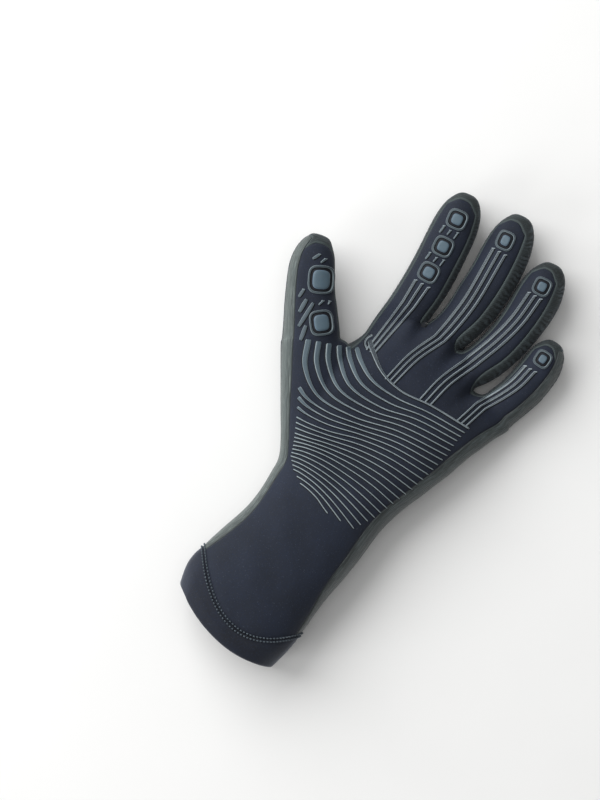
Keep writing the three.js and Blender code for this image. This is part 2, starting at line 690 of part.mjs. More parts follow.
// A rib: a low roof carried along a path of the plan, its two feet and ridge on the skin.
function ribMesh(path, widths, height) {
  const count = path.length;
  const ahead = path.map((_, i) => {
    const [ax, ay] = path[Math.max(i - 1, 0)];
    const [bx, by] = path[Math.min(i + 1, count - 1)];
    const length = Math.hypot(bx - ax, by - ay);
    return [(bx - ax) / length, (by - ay) / length];
  });
  const edge = (side) => path.map(([x, y], i) => {
    const half = widths[i] / 2 * side;
    return [x - ahead[i][1] * half, y + ahead[i][0] * half];
  });
  const feet = [...edge(1), ...edge(-1)];
  const stretches = path.slice(1).flatMap((_, i) => (
    [[i, i + 1], [count + i, count + i + 1], [count + i, i + 1]]));
  const seats = seat(feet, stretches);
  const positions = path.flatMap((place, i) => {
    const crown = Math.max(skinHeight(...place) + RELIEF_GAP, seats[i], seats[count + i]);
    return [
      [...feet[i], seats[i]],
      [...place, crown + height],
      [...feet[count + i], seats[count + i]],
    ];
  });
  const triangles = [[0, 2, 1]];
  for (let i = 0; i + 1 < count; i += 1) {
    [[0, 1], [1, 2], [2, 0]].forEach(([a, b]) => {
      const [p, q, r, t] = [3 * i + a, 3 * i + b, 3 * i + 3 + a, 3 * i + 3 + b];
      triangles.push([p, q, t], [p, t, r]);
    });
  }
  const end = 3 * (count - 1);
  triangles.push([end, end + 1, end + 2]);
  return { positions, triangles };
}

// Palm ribs, lofted between key ribs. The first lies next to the fingers, the last at the
// heel. across: shares of the palm's width; along: of its length, both from thumb to little.
const KEY_RIBS = [
  { rib: 1, across: [-0.338, -0.286, -0.171, 0, 0.19, 0.433],
    along: [0.575, 0.505, 0.413, 0.387, 0.413, 0.417], wide: 1, narrow: 0.6 },
  { rib: 3, across: [-0.433, -0.39, -0.267, -0.057, 0.152, 0.419],
    along: [0.52, 0.43, 0.287, 0.26, 0.317, 0.333], wide: 1, narrow: 0.6 },
  { rib: 6, across: [-0.6, -0.543, -0.4, -0.162, 0.095, 0.41],
    along: [0.44, 0.247, 0.093, 0.087, 0.163, 0.191], wide: 1, narrow: 0.55 },
  { rib: 7, across: [-0.51, -0.448, -0.314, -0.114, 0.114, 0.4],
    along: [0.073, 0.033, 0.016, 0.056, 0.124, 0.143], wide: 0.9, narrow: 0.5 },
  { rib: 10, across: [-0.438, -0.371, -0.248, -0.057, 0.133, 0.371],
    along: [-0.14, -0.137, -0.112, -0.04, -0.007, -0.013], wide: 0.6, narrow: 0.5 },
  { rib: 13, across: [-0.4, -0.333, -0.21, -0.029, 0.143, 0.333],
    along: [-0.257, -0.239, -0.2, -0.16, -0.153, -0.18], wide: 0.55, narrow: 0.5 },
  { rib: 16, across: [-0.374, -0.31, -0.19, -0.029, 0.124, 0.281],
    along: [-0.347, -0.317, -0.292, -0.291, -0.309, -0.353], wide: 0.5, narrow: 0.45 },
  { rib: 19, across: [-0.355, -0.295, -0.186, -0.038, 0.095, 0.229],
    along: [-0.431, -0.415, -0.411, -0.433, -0.473, -0.523], wide: 0.5, narrow: 0.45 },
  { rib: 22, across: [-0.305, -0.257, -0.167, -0.057, 0.048, 0.157],
    along: [-0.513, -0.511, -0.524, -0.563, -0.616, -0.68], wide: 0.5, narrow: 0.4 },
  { rib: 24, across: [-0.233, -0.21, -0.162, -0.105, -0.057, -0.014],
    along: [-0.583, -0.585, -0.597, -0.621, -0.653, -0.68], wide: 0.5, narrow: 0.4 },
];
const RIB_COUNT = KEY_RIBS[KEY_RIBS.length - 1].rib;
const RIB_STEPS = 12;

for (let rib = 1; rib <= RIB_COUNT; rib += 1) {
  const after = Math.max(1, KEY_RIBS.findIndex((key) => key.rib >= rib));
  const [a, b] = [KEY_RIBS[after - 1], KEY_RIBS[after]];
  const share = (rib - a.rib) / (b.rib - a.rib);
  const places = a.across.map((_, i) => [
    mix(a.across[i], b.across[i], share) * PALM_WIDTH,
    mix(a.along[i], b.along[i], share) * PALM_LENGTH,
  ]);
  const path = planCurve(places, RIB_STEPS);
  const wide = mix(a.wide, b.wide, share) * RIB_WIDTH;
  const narrow = mix(a.narrow, b.narrow, share) * RIB_WIDTH;
  const widths = path.map((_, i) => mix(wide, narrow, Math.sqrt(i / RIB_STEPS)));
  const { positions, triangles } = ribMesh(path, widths, RIB_HEIGHT);
  solid(`palm_rib_${rib}`, positions, triangles, RELIEF);
}

// Border rib under the fingers, from the index side to the little-finger side.
const BORDER_RIB = [[-0.295, 0.68], [-0.257, 0.627], [-0.143, 0.507], [0, 0.453],
  [0.19, 0.471], [0.443, 0.464]];

// The middle one of each finger's three stripes. on: places on the finger, as shares of its
// length and of its width off the spine; below: places on the palm down to the border rib.
// pitch: spacing at the top and at the bottom, as shares of the pitch.
const STRIPES = [
  { finger: 'index', on: [[0.295, -0.08], [0.12, -0.085]],
    below: [[-0.229, 0.88], [-0.262, 0.6]], pitch: [1.1, 0.62] },
  { finger: 'middle', on: [[0.71, -0.147], [0.31, -0.127], [0.085, -0.07]],
    below: [[0.033, 0.947], [-0.033, 0.76], [-0.084, 0.472]], pitch: [1, 0.72] },
  { finger: 'ring', on: [[0.73, -0.083], [0.51, -0.125], [0.31, -0.17]],
    below: [[0.262, 0.92], [0.19, 0.693], [0.15, 0.47]], pitch: [0.98, 0.88] },
  { finger: 'little', on: [[0.6, -0.16], [0.38, -0.17], [0.19, -0.2]],
    below: [[0.438, 0.667], [0.39, 0.468]], pitch: [0.85, 0.78] },
];
const STRIPE_STEPS = 12;

// Place in the plan at a share of a branch's length and of its width off the spine.
function onBranch(branch, [along, aside]) {
  const frame = branchFrame(branch, along);
  const off = aside * branch.size.width;
  return [frame.centre[0] + off * frame.side[0], frame.centre[1] + off * frame.side[1]];
}

function asManifold({ positions, triangles }) {
  return new wasm.Manifold(new wasm.Mesh({
    numProp: 3,
    vertProperties: new Float32Array(positions.flat()),
    triVerts: new Uint32Array(triangles.flat()),
  }));
}

const borderPath = planCurve(BORDER_RIB.map(([x, y]) => [x * PALM_WIDTH, y * PALM_LENGTH]),
  STRIPE_STEPS);
const borderWidths = borderPath.map((_, i) => mix(RIB_WIDTH, BORDER_RIB_END, i / STRIPE_STEPS));
let fingerRibs = asManifold(ribMesh(borderPath, borderWidths, RIB_HEIGHT));
STRIPES.forEach((stripe) => {
  const finger = FINGERS.find((branch) => branch.name === stripe.finger);
  const places = [
    ...stripe.on.map((place) => onBranch(finger, place)),
    ...stripe.below.map(([x, y]) => [x * PALM_WIDTH, y * PALM_LENGTH]),
  ];
  [-1, 0, 1].forEach((side) => {
    const spread = places.map(([x, y], i) => {
      const pitch = mix(stripe.pitch[0], stripe.pitch[1], i / (places.length - 1));
      return [x + side * pitch * STRIPE_PITCH, y];
    });
    const path = planCurve(spread, STRIPE_STEPS);
    const widths = path.map(() => STRIPE_WIDTH);
    fingerRibs = fingerRibs.add(asManifold(ribMesh(path, widths, RIB_HEIGHT)));
  });
});
const ribNet = fingerRibs.getMesh();
const ribPoints = Array.from({ length: ribNet.vertProperties.length / 3 }, (_, i) => (
  Array.from(ribNet.vertProperties.slice(3 * i, 3 * i + 3))));
const ribTriangles = Array.from({ length: ribNet.triVerts.length / 3 }, (_, i) => (
  Array.from(ribNet.triVerts.slice(3 * i, 3 * i + 3))));
solid('finger_ribs', ribPoints, ribTriangles, RELIEF);

// Slanted ribs across the thumb, between its pads and its outer edge. Both ends as shares
// of the thumb's length and of its width off the spine.
const THUMB_RIBS = [
  { from: [0.37, -0.075], to: [0.265, -0.23] },
  { from: [0.335, 0.06], to: [0.145, -0.25] },
  { from: [0.145, -0.1], to: [0.02, -0.21] },
];
const THUMB_RIB_STEPS = 4;

THUMB_RIBS.forEach(({ from, to }, k) => {
  const path = Array.from({ length: THUMB_RIB_STEPS + 1 }, (_, i) => (
    onBranch(THUMB_BRANCH, mixPoints(from, to, i / THUMB_RIB_STEPS))));
  const { positions, triangles } = ribMesh(path, path.map(() => RIB_WIDTH), RIB_HEIGHT);
  solid(`thumb_rib_${k + 1}`, positions, triangles, RELIEF);
});

// Grip pads. at: share of the branch's length and of its width off the spine; size: of the
// pad across and along in millimetres; groove and ring lie round it.
const PADS = [
  { name: 'index_pad_1', branch: 'index', at: [0.8, -0.03], size: [6.4, 6.4] },
  { name: 'index_pad_2', branch: 'index', at: [0.59, -0.055], size: [6.4, 6.4] },
  { name: 'index_pad_3', branch: 'index', at: [0.385, -0.07], size: [6.4, 6.4] },
  { name: 'middle_pad', branch: 'middle', at: [0.795, -0.13], size: [4.8, 6.2] },
  { name: 'ring_pad', branch: 'ring', at: [0.81, -0.04], size: [5, 5.4] },
  { name: 'little_pad', branch: 'little', at: [0.765, -0.06], size: [4.2, 4.8] },
  { name: 'thumb_pad_1', branch: 'thumb', at: [0.55, 0.21], size: [10, 11.4] },
  { name: 'thumb_pad_2', branch: 'thumb', at: [0.15, 0.22], size: [8.6, 9.6] },
];
const PAD_SIDES = 12;
const PAD_ROUNDNESS = 3.4;

// Rounded square round a centre, turned with its finger.
function padLoop(branch, pad, grow) {
  const frame = branchFrame(branch, pad.at[0]);
  const [cx, cy] = onBranch(branch, pad.at);
  const [ux, uy] = frame.side;
  return Array.from({ length: PAD_SIDES }, (_, i) => {
    const angle = (i + 0.5) * 2 * Math.PI / PAD_SIDES;
    const u = (pad.size[0] / 2 + grow) * signedPower(Math.cos(angle), 2 / PAD_ROUNDNESS);
    const v = (pad.size[1] / 2 + grow) * signedPower(Math.sin(angle), 2 / PAD_ROUNDNESS);
    return [cx + u * ux - v * uy, cy + u * uy + v * ux];
  });
}

PADS.forEach((pad) => {
  const branch = [...FINGERS, THUMB_BRANCH].find((one) => one.name === pad.branch);
  const count = PAD_SIDES;
  const centre = onBranch(branch, pad.at);
  const foot = padLoop(branch, pad, 0);
  const half = padLoop(branch, pad, -Math.min(...pad.size) / 4);
  const floor = [...foot, ...half, centre];
  const spokes = foot.flatMap((_, i) => {
    const j = (i + 1) % count;
    return [[i, j], [i, count + i], [j, count + i], [count + i, count + j],
      [count + i, 2 * count]];
  });
  const seats = seat(floor, spokes);
  const padPoints = [
    ...floor.map((place, i) => [...place, seats[i]]),
    ...floor.map((place, i) => [...place, seats[i] + PAD_HEIGHT * (i < count ? 0.5 : 1)]),
  ];
  const top = 2 * count + 1;
  const padTriangles = [];
  const ringPoints = [];
  const ringTriangles = [];
  const loops = [
    { grow: PAD_GROOVE, rise: 0 },
    { grow: PAD_GROOVE + PAD_RING_WIDTH / 2, rise: PAD_RING_HEIGHT },
    { grow: PAD_GROOVE + PAD_RING_WIDTH, rise: 0 },
  ];
  const around = loops.flatMap(({ grow }) => padLoop(branch, pad, grow));
  const rounds = foot.flatMap((_, i) => {
    const j = (i + 1) % count;
    return [[i, j], [2 * count + i, 2 * count + j], [i, 2 * count + j]];
  });
  const ringSeats = seat(around, rounds);
  ringPoints.push(...around.map((place, i) => (
    [...place, ringSeats[i] + loops[Math.floor(i / count)].rise])));
  for (let i = 0; i < count; i += 1) {
    const j = (i + 1) % count;
    padTriangles.push([j, i, count + i], [j, count + i, count + j]);
    padTriangles.push([count + j, count + i, 2 * count]);
    padTriangles.push([top + i, top + j, top + count + j]);
    padTriangles.push([top + i, top + count + j, top + count + i]);
    padTriangles.push([top + count + i, top + count + j, top + 2 * count]);
    padTriangles.push([i, j, top + j], [i, top + j, top + i]);
    [[1, 0], [2, 1], [0, 2]].forEach(([a, b]) => {
      const [p, q, r, t] = [a * count + i, a * count + j, b * count + i, b * count + j];
      ringTriangles.push([p, q, t], [p, t, r]);
    });
  }
  solid(pad.name, padPoints, padTriangles, PAD_BLUE);
  solid(`${pad.name}_ring`, ringPoints, ringTriangles, RELIEF);
});

export default glove;
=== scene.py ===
"""Builds a left-hand diving glove that lies on its back, with the palm up.

Foam-rubber panels, a printed grip on the palm, tapes along the sides, a turned hem and its
stitches. Tables are in millimetres, objects in metres. X points from the thumb to the little
finger, Y from the cuff to the fingertips, Z up out of the palm.
"""

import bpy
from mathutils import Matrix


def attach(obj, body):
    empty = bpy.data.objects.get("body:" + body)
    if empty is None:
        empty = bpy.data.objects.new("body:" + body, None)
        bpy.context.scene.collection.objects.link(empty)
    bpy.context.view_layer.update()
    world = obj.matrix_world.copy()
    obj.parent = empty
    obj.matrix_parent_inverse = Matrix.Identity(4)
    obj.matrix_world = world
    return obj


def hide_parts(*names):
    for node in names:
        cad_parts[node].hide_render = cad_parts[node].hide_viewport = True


bl_info = {
    "name": "Diving glove",
    "version": (1, 0, 0),
    "blender": (4, 5, 0),
    "location": "3D View > Sidebar > Glove",
    "description": "Foam-rubber diving glove with a printed grip palm, tapes and stitched hem",
    "category": "Object",
}

import functools
import math
from collections import namedtuple
from types import SimpleNamespace

import bpy
import numpy as np
from bpy.props import (
    FloatProperty,
    FloatVectorProperty,
    IntProperty,
    PointerProperty,
)
from mathutils import Vector

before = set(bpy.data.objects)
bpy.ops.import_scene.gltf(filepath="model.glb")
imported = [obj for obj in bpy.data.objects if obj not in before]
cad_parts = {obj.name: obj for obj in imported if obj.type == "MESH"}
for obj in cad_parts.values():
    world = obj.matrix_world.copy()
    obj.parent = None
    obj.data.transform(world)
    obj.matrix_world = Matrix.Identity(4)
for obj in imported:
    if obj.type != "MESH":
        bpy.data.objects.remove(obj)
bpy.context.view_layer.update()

MM = 0.001

# Hand and cuff, in millimetres
PALM_WIDTH = 105
PALM_LENGTH = 75
PALM_DEPTH = 42
HEEL_LENGTH = 45
CUFF_WIDTH = 74
CUFF_LENGTH = 105
CUFF_DEPTH = 48
PALM_HOLLOW = 3.5
PALM_HOLLOW_WIDTH = 50
PALM_HOLLOW_LENGTH = 82
BACK_PRESS = 1.2
FINGER_LIFT = 5
THUMB_HEIGHT = 21
THUMB_LIFT = 2
WEB_RISE = 3
TONGUE_ROUND = 5.5

# Steps of a ring: palm, little-finger side, back, thumb side
PALM_STEPS = 16
SIDE_STEPS = 4
HAND_STEPS = 2 * (PALM_STEPS + SIDE_STEPS)
FINGER_STEPS = PALM_STEPS // 4
BACK_START = PALM_STEPS + SIDE_STEPS
THUMB_FIRST, THUMB_LAST = 7, 13
HEM_TOP_ROW = 2
CUFF_BACK_TOP_ROW = 4

# Share of the palm's width, seam to seam, at which each finger begins and ends.
FINGER_SPLITS = np.array([0, 0.278, 0.539, 0.749, 1])

# Rows of the hand from the hem up. along, edge: shares of the zone's length and width at the
# thumb side and at the little-finger side. seam, back: how far the edges of palm and back lie
# inside. bow: sag of palm and back in the row's middle. depth: share of the zone's depth.
# knuckle: how much the row follows the knuckles. pinch: height left between the fingers.
Row = namedtuple("Row", "zone along edge seam back bow depth knuckle pinch")
HAND_ROWS = [
    Row("cuff", (0.819, 0.971), (-0.77, 0.216), (0.02, 0.04), (0.1, 0.1), (0.08, 0.08), 1, 0, 1),
    Row("cuff", (0.695, 0.85), (-0.797, 0.262), (0.016, 0.04), (0.1, 0.1), (0.155, 0.12), 1, 0, 1),
    Row("cuff", (0.571, 0.733), (-0.757, 0.288), (0.02, 0.035), (0.1, 0.1), (0.229, 0.165),
        0.98, 0, 1),
    Row("cuff", (0.41, 0.571), (-0.682, 0.308), (0.045, 0.045), (0.1, 0.1), (0.13, 0.04),
        0.95, 0, 1),
    Row("cuff", (0.257, 0.41), (-0.608, 0.345), (0.05, 0.085), (0.1, 0.1), (0.06, -0.19),
        0.92, 0, 1),
    Row("cuff", (0.114, 0.219), (-0.581, 0.396), (0.05, 0.105), (0.1, 0.1), (0.02, -0.12),
        0.88, 0, 1),
    Row("cuff", (0, 0.03), (-0.581, 0.423), (0.055, 0.11), (0.1, 0.1), (0, -0.05), 0.86, 0, 1),
    Row("heel", (0.755, 0.66), (-0.422, 0.343), (0.05, 0.081), (0.065, 0.08), (0, 0), 0.96, 0, 1),
    Row("heel", (0.47, 0.38), (-0.514, 0.395), (0.133, 0.081), (0.133, 0.08), (0, 0), 0.99, 0, 1),
    Row("heel", (0.18, 0.13), (-0.571, 0.438), (0.19, 0.081), (0.19, 0.08), (0, 0), 1, 0, 1),
    Row("palm", (0.067, 0.053), (-0.61, 0.478), (0.229, 0.081), (0.229, 0.08), (0, 0),
        0.99, 0.05, 1),
    Row("palm", (0.24, 0.173), (-0.61, 0.507), (0.229, 0.08), (0.229, 0.08), (0, 0),
        0.96, 0.13, 1),
    Row("palm", (0.413, 0.293), (-0.533, 0.541), (0.157, 0.08), (0.157, 0.08), (0, 0),
        0.91, 0.25, 1),
    Row("palm", (0.56, 0.4), (-0.4, 0.575), (0.04, 0.08), (0.06, 0.08), (0, 0), 0.84, 0.42, 1),
    Row("palm", (0.68, 0.48), (-0.348, 0.602), (0.016, 0.078), (0.07, 0.08), (0, 0),
        0.76, 0.6, 0.97),
    Row("palm", (0.773, 0.547), (-0.338, 0.627), (0.014, 0.075), (0.07, 0.08), (0, 0),
        0.68, 0.82, 0.88),
    Row("palm", (0.88, 0.613), (-0.333, 0.65), (0.014, 0.07), (0.07, 0.08), (0, 0), 0.61, 1, 0.5),
]
# How far the knuckle row reaches up at the finger splits, in palm lengths, and the share of it
# that the lower edge of the knuckle band takes.
KNUCKLE_RISE = np.array([0, 0.192, 0.203, 0.027, 0])
BAND_KNUCKLE = 0.93

# Zones of the hand: y where each starts, its reach along Y, its width and its depth.
Zone = namedtuple("Zone", "start reach width depth")
ZONES = {
    "cuff": Zone(-HEEL_LENGTH, -CUFF_LENGTH, CUFF_WIDTH, CUFF_DEPTH),
    "heel": Zone(0, -HEEL_LENGTH, PALM_WIDTH, PALM_DEPTH),
    "palm": Zone(0, PALM_LENGTH, PALM_WIDTH, PALM_DEPTH),
}
HAND_ROUNDNESS = 2.3
FINGER_ROUNDNESS = 2.15

# Branches, sizes in millimetres. lean, bow: the spine's slant and side bulge in widths.
# corners: angles of the ring's four corners. squeeze: how much the far and near side give way
# at the root, until ease. turn: the root ring's turn in radians. ring: its first ring number.
Branch = namedtuple(
    "Branch", "name length width depth lean bow bow_at corners flare squeeze ease turn ring")
FINGERS = [
    Branch("index", 86.5, 28.5, 25, -0.07, 0.1, 0.4, (152, 46, -42, -140), 0.97, (0, 0.06),
           0.3, 0, 0),
    Branch("middle", 88.5, 29.5, 25, 0.22, 0.21, 0.4, (162, 64, -38, -142), 0.95, (0.15, 0.1),
           0.35, 0, 4),
    Branch("ring", 83.5, 29, 24.5, 0.52, 0.29, 0.4, (151, 63, -38, -142), 0.95, (0.12, 0.16),
           0.7, 0.05, 8),
    Branch("little", 56, 27, 23, 0.51, 0.16, 0.45, (149, 62, -38, -140), 1.1, (0.2, 0),
           1, 0.22, 12),
]
THUMB = Branch("thumb", 58.5, 29, 27, -0.9, -0.14, 0.6, (125, 15, -45, -145), 1.24, (0, 0),
               1, 0.19, 20)
THUMB_ROOT = (-0.586, 0.436)
THUMB_FAN_ROWS = 2

# Places along of the thumb's fan and start, in thumb lengths from a point in millimetres.
THUMB_FAN_SHARES = [-0.48, -0.24, 0]
THUMB_ALONG = 10
TURN_REACH = 0.4
BODY_ROWS = [0.12, 0.34, 0.56, 0.78, 1]
TIP_REACH = 1.1
TIP_ROUNDNESS = 2.4

# Rows of a tip: distance from its end in widths, and share of the tongue's arch.
TIP_ROWS = [(0.72, 0.3), (0.42, 0.65), (0.17, 1), (0.07, 0.25)]
NAVY_ROWS = len(BODY_ROWS) + 3

# Rounds of fitting the net to the solids' corners, and the share of the gap closed in each.
FIT_ROUNDS = 5
FIT_STEP = 0.9

# Rows of the net that carry the cuff and the hem's seam, and where the fingers' creases begin.
CUFF_PATCH_ROWS = 8
CREASES_FROM = 52

# Plan grid of the skin's height in millimetres: lowest corner, cell size, cells each way, and
# the distance over which its slope is taken.
MAP_LOW = np.array([-110.0, -160.0])
MAP_CELL = 0.5
MAP_CELLS = np.array([400, 660])
SLOPE_REACH = 0.8

PANELS = ["palm_panel", "hand_back", "middle_finger_back", "ring_finger_back", "knuckle_band",
          "cuff_back", "side_strip_thumb", "side_strip_little", "hem"]
PANEL = {name: number for number, name in enumerate(PANELS)}
BACK_PANELS = {"index": "hand_back", "middle": "middle_finger_back",
               "ring": "ring_finger_back", "little": "hand_back", "thumb": "hand_back"}

# Palm ribs, lofted between key ribs. across, along: shares of the palm's width and length.
# narrow: width of the thinned rib as a share of the rib width.
Rib = namedtuple("Rib", "number across along narrow")
KEY_RIBS = [
    Rib(1, (-0.338, -0.286, -0.171, 0, 0.19, 0.433), (0.575, 0.505, 0.413, 0.387, 0.413, 0.417),
        0.3),
    Rib(3, (-0.433, -0.39, -0.267, -0.057, 0.152, 0.419), (0.52, 0.43, 0.287, 0.26, 0.317, 0.333),
        0.3),
    Rib(6, (-0.6, -0.543, -0.4, -0.162, 0.095, 0.41), (0.44, 0.247, 0.093, 0.087, 0.163, 0.191),
        0.3),
    Rib(7, (-0.51, -0.448, -0.314, -0.114, 0.114, 0.4), (0.073, 0.033, 0.016, 0.056, 0.124, 0.143),
        0.3),
    Rib(10, (-0.438, -0.371, -0.248, -0.057, 0.133, 0.371),
        (-0.14, -0.137, -0.112, -0.04, -0.007, -0.013), 0.28),
    Rib(13, (-0.4, -0.333, -0.21, -0.029, 0.143, 0.333),
        (-0.257, -0.239, -0.2, -0.16, -0.153, -0.18), 0.28),
    Rib(16, (-0.374, -0.31, -0.19, -0.029, 0.124, 0.281),
        (-0.347, -0.317, -0.292, -0.291, -0.309, -0.353), 0.28),
    Rib(19, (-0.355, -0.295, -0.186, -0.038, 0.095, 0.229),
        (-0.431, -0.415, -0.411, -0.433, -0.473, -0.523), 0.28),
    Rib(22, (-0.305, -0.257, -0.167, -0.057, 0.048, 0.157),
        (-0.513, -0.511, -0.524, -0.563, -0.616, -0.68), 0.28),
    Rib(24, (-0.233, -0.21, -0.162, -0.105, -0.057, -0.014),
        (-0.583, -0.585, -0.597, -0.621, -0.653, -0.68), 0.28),
]
# Rib number, its width at the start in rib widths, and millimetres until it has thinned.
RIB_STARTS = [(1, 1.5, 24), (5, 1.7, 30), (6, 1.8, 32), (7, 1.2, 11), (8, 1.1, 9), (9, 0.8, 6),
              (10, 0.4, 5), (24, 0.3, 5)]

# Rib under the fingers: places on the palm, then its width in millimetres at the thumb's side
# and where it has thinned, and how far along that is.
BORDER_RIB = [(-0.295, 0.68), (-0.257, 0.627), (-0.143, 0.507), (0, 0.453), (0.19, 0.471),
              (0.443, 0.464)]
BORDER_WIDTHS = (2.9, 0.85, 19)
RIB_STATIONS = 130

# Middle one of each finger's three stripes. on: shares of its length and of its width off the
# spine. below: places on the palm. pitch: spacing at the top and at the bottom.
Stripe = namedtuple("Stripe", "finger on below pitch")
STRIPES = [
    Stripe("index", [(0.295, -0.08), (0.12, -0.085)], [(-0.229, 0.88), (-0.262, 0.6)],
           (1.1, 0.62)),
    Stripe("middle", [(0.71, -0.147), (0.31, -0.127), (0.085, -0.07)],
           [(0.044, 0.972), (-0.033, 0.74), (-0.084, 0.472)], (1, 0.72)),
    Stripe("ring", [(0.73, -0.083), (0.51, -0.125), (0.31, -0.17)],
           [(0.262, 0.92), (0.19, 0.693), (0.15, 0.47)], (0.98, 0.88)),
    Stripe("little", [(0.6, -0.16), (0.38, -0.17), (0.19, -0.2)],
           [(0.438, 0.667), (0.39, 0.468)], (0.85, 0.78)),
]

# Share of its width and millimetres over which a stripe thins towards its lower end.
STRIPE_FOOT = 0.62
STRIPE_FOOT_REACH = 34

# Small hook where the index stripes meet the rib under the fingers, in millimetres.
HOOK = [(-31.2, 54.5), (-32.9, 51), (-32.6, 48.2), (-30.4, 46)]
HOOK_STATIONS = 30

# Slanted ribs and short dashes on thumb and index. Ends: shares of length, and of width off
# the spine; width in millimetres.
Dash = namedtuple("Dash", "branch start end width")
THUMB_RIBS = [
    Dash("thumb", (0.37, -0.075), (0.265, -0.23), 2.3),
    Dash("thumb", (0.335, 0.06), (0.145, -0.25), 2.3),
    Dash("thumb", (0.145, -0.1), (0.02, -0.21), 2.3),
]
DASHES = [
    Dash("thumb", (0.35, 0.26), (0.315, 0.17), 1.1),
    Dash("thumb", (0.345, 0.4), (0.315, 0.36), 0.9),
    Dash("thumb", (0.8, 0.1), (0.74, -0.02), 1.6),
    Dash("thumb", (0.77, 0.24), (0.72, 0.16), 1.3),
    Dash("thumb", (0.455, -0.13), (0.39, -0.235), 1.7),
    Dash("index", (0.725, -0.215), (0.668, -0.25), 1.1),
    Dash("index", (0.713, -0.06), (0.675, -0.09), 1.0),
    Dash("index", (0.72, 0.1), (0.67, 0.07), 0.9),
    Dash("index", (0.515, -0.235), (0.458, -0.265), 1.1),
    Dash("index", (0.503, -0.07), (0.465, -0.1), 1.0),
    Dash("index", (0.51, 0.085), (0.46, 0.06), 0.9),
]

# Grip pads. at: share of the branch's length and of its width off the spine; size across and
# along in millimetres.
Pad = namedtuple("Pad", "name branch at size")
PADS = [
    Pad("index_pad_1", "index", (0.8, -0.03), (6.4, 6.4)),
    Pad("index_pad_2", "index", (0.59, -0.055), (6.4, 6.4)),
    Pad("index_pad_3", "index", (0.385, -0.07), (6.4, 6.4)),
    Pad("middle_pad", "middle", (0.795, -0.13), (4.8, 6.2)),
    Pad("ring_pad", "ring", (0.81, -0.04), (5, 5.4)),
    Pad("little_pad", "little", (0.765, -0.06), (4.2, 4.8)),
    Pad("thumb_pad_1", "thumb", (0.55, 0.21), (10, 11.4)),
    Pad("thumb_pad_2", "thumb", (0.15, 0.22), (8.6, 9.6)),
]
PAD_ROUNDNESS = 3.4

# Centre line, in millimetres of the plan, of the four lines knitted into the back.
BACK_LINE = [(66, 101), (65, 88), (61, 72), (53.5, 52), (44.5, 31), (36.5, 10), (29, -10),
             (22, -28)]
BACK_LINE_LENGTH = 132

# The four lines: distance from the centre line and half the width in millimetres, and whether
# the line is full or hatched.
BACK_LINES = [(-3.4, 0.5, False), (-1.9, 0.5, False), (-0.4, 0.5, False), (1.9, 0.75, True)]

# Rows of hem stitches, in millimetres from the hem's seam towards the fingers.
STITCH_ROWS = (-1.15, 0.95)


def mix(a, b, share):
    """The value at a share of the way from a to b."""
    return a + (b - a) * share


def signed_power(value, power):
    """The power of the size, with the sign kept."""
    return np.sign(value) * np.abs(value) ** power


def unit(vectors):
    """The vectors at length one."""
    return vectors / np.maximum(np.linalg.norm(vectors, axis=-1, keepdims=True), 1e-12)


def scatter(index, values, size):
    """Sums rows of values at their index."""
    return np.stack([np.bincount(index, column, size) for column in values.T], axis=1)


def smooth_curve(places, count):
    """Evenly spaced places on a Catmull-Rom curve whose knots lie at root-of-chord spacing."""
    places = np.asarray(places, float)
    ends = [2 * places[0] - places[1]], [2 * places[-1] - places[-2]]
    p = np.concatenate([ends[0], places, ends[1]])
    knots = np.concatenate([[0], np.cumsum(np.linalg.norm(np.diff(p, axis=0), axis=1) ** 0.5)])
    t = np.linspace(knots[1], knots[-2], 40 * len(places))
    i = np.clip(np.searchsorted(knots, t, side="right") - 1, 1, len(p) - 3)

    def blend(a, b, ta, tb):
        return a * ((tb - t) / (tb - ta))[:, None] + b * ((t - ta) / (tb - ta))[:, None]

    t0, t1, t2, t3 = (knots[i + k] for k in (-1, 0, 1, 2))
    a1 = blend(p[i - 1], p[i], t0, t1)
    a2 = blend(p[i], p[i + 1], t1, t2)
    a3 = blend(p[i + 1], p[i + 2], t2, t3)
    curve = blend(blend(a1, a2, t0, t2), blend(a2, a3, t1, t3), t1, t2)
    walked = np.concatenate([[0], np.cumsum(np.linalg.norm(np.diff(curve, axis=0), axis=1))])
    at = np.linspace(0, walked[-1], count)
    return np.stack([np.interp(at, walked, column) for column in curve.T], axis=1)


def palm_share(step):
    """Share of the palm's width at its steps, spread evenly inside each finger."""
    k = np.minimum(step // FINGER_STEPS, 3).astype(int)
    return mix(FINGER_SPLITS[k], FINGER_SPLITS[k + 1], step / FINGER_STEPS - k)


def across_splits(values, share):
    """Cosine waves that join the values given at the finger splits."""
    k = np.clip(np.searchsorted(FINGER_SPLITS, share, side="left") - 1, 0, 3)
    t = (share - FINGER_SPLITS[k]) / (FINGER_SPLITS[k + 1] - FINGER_SPLITS[k])
    return mix(values[k], values[k + 1], (1 - np.cos(np.pi * t)) / 2)


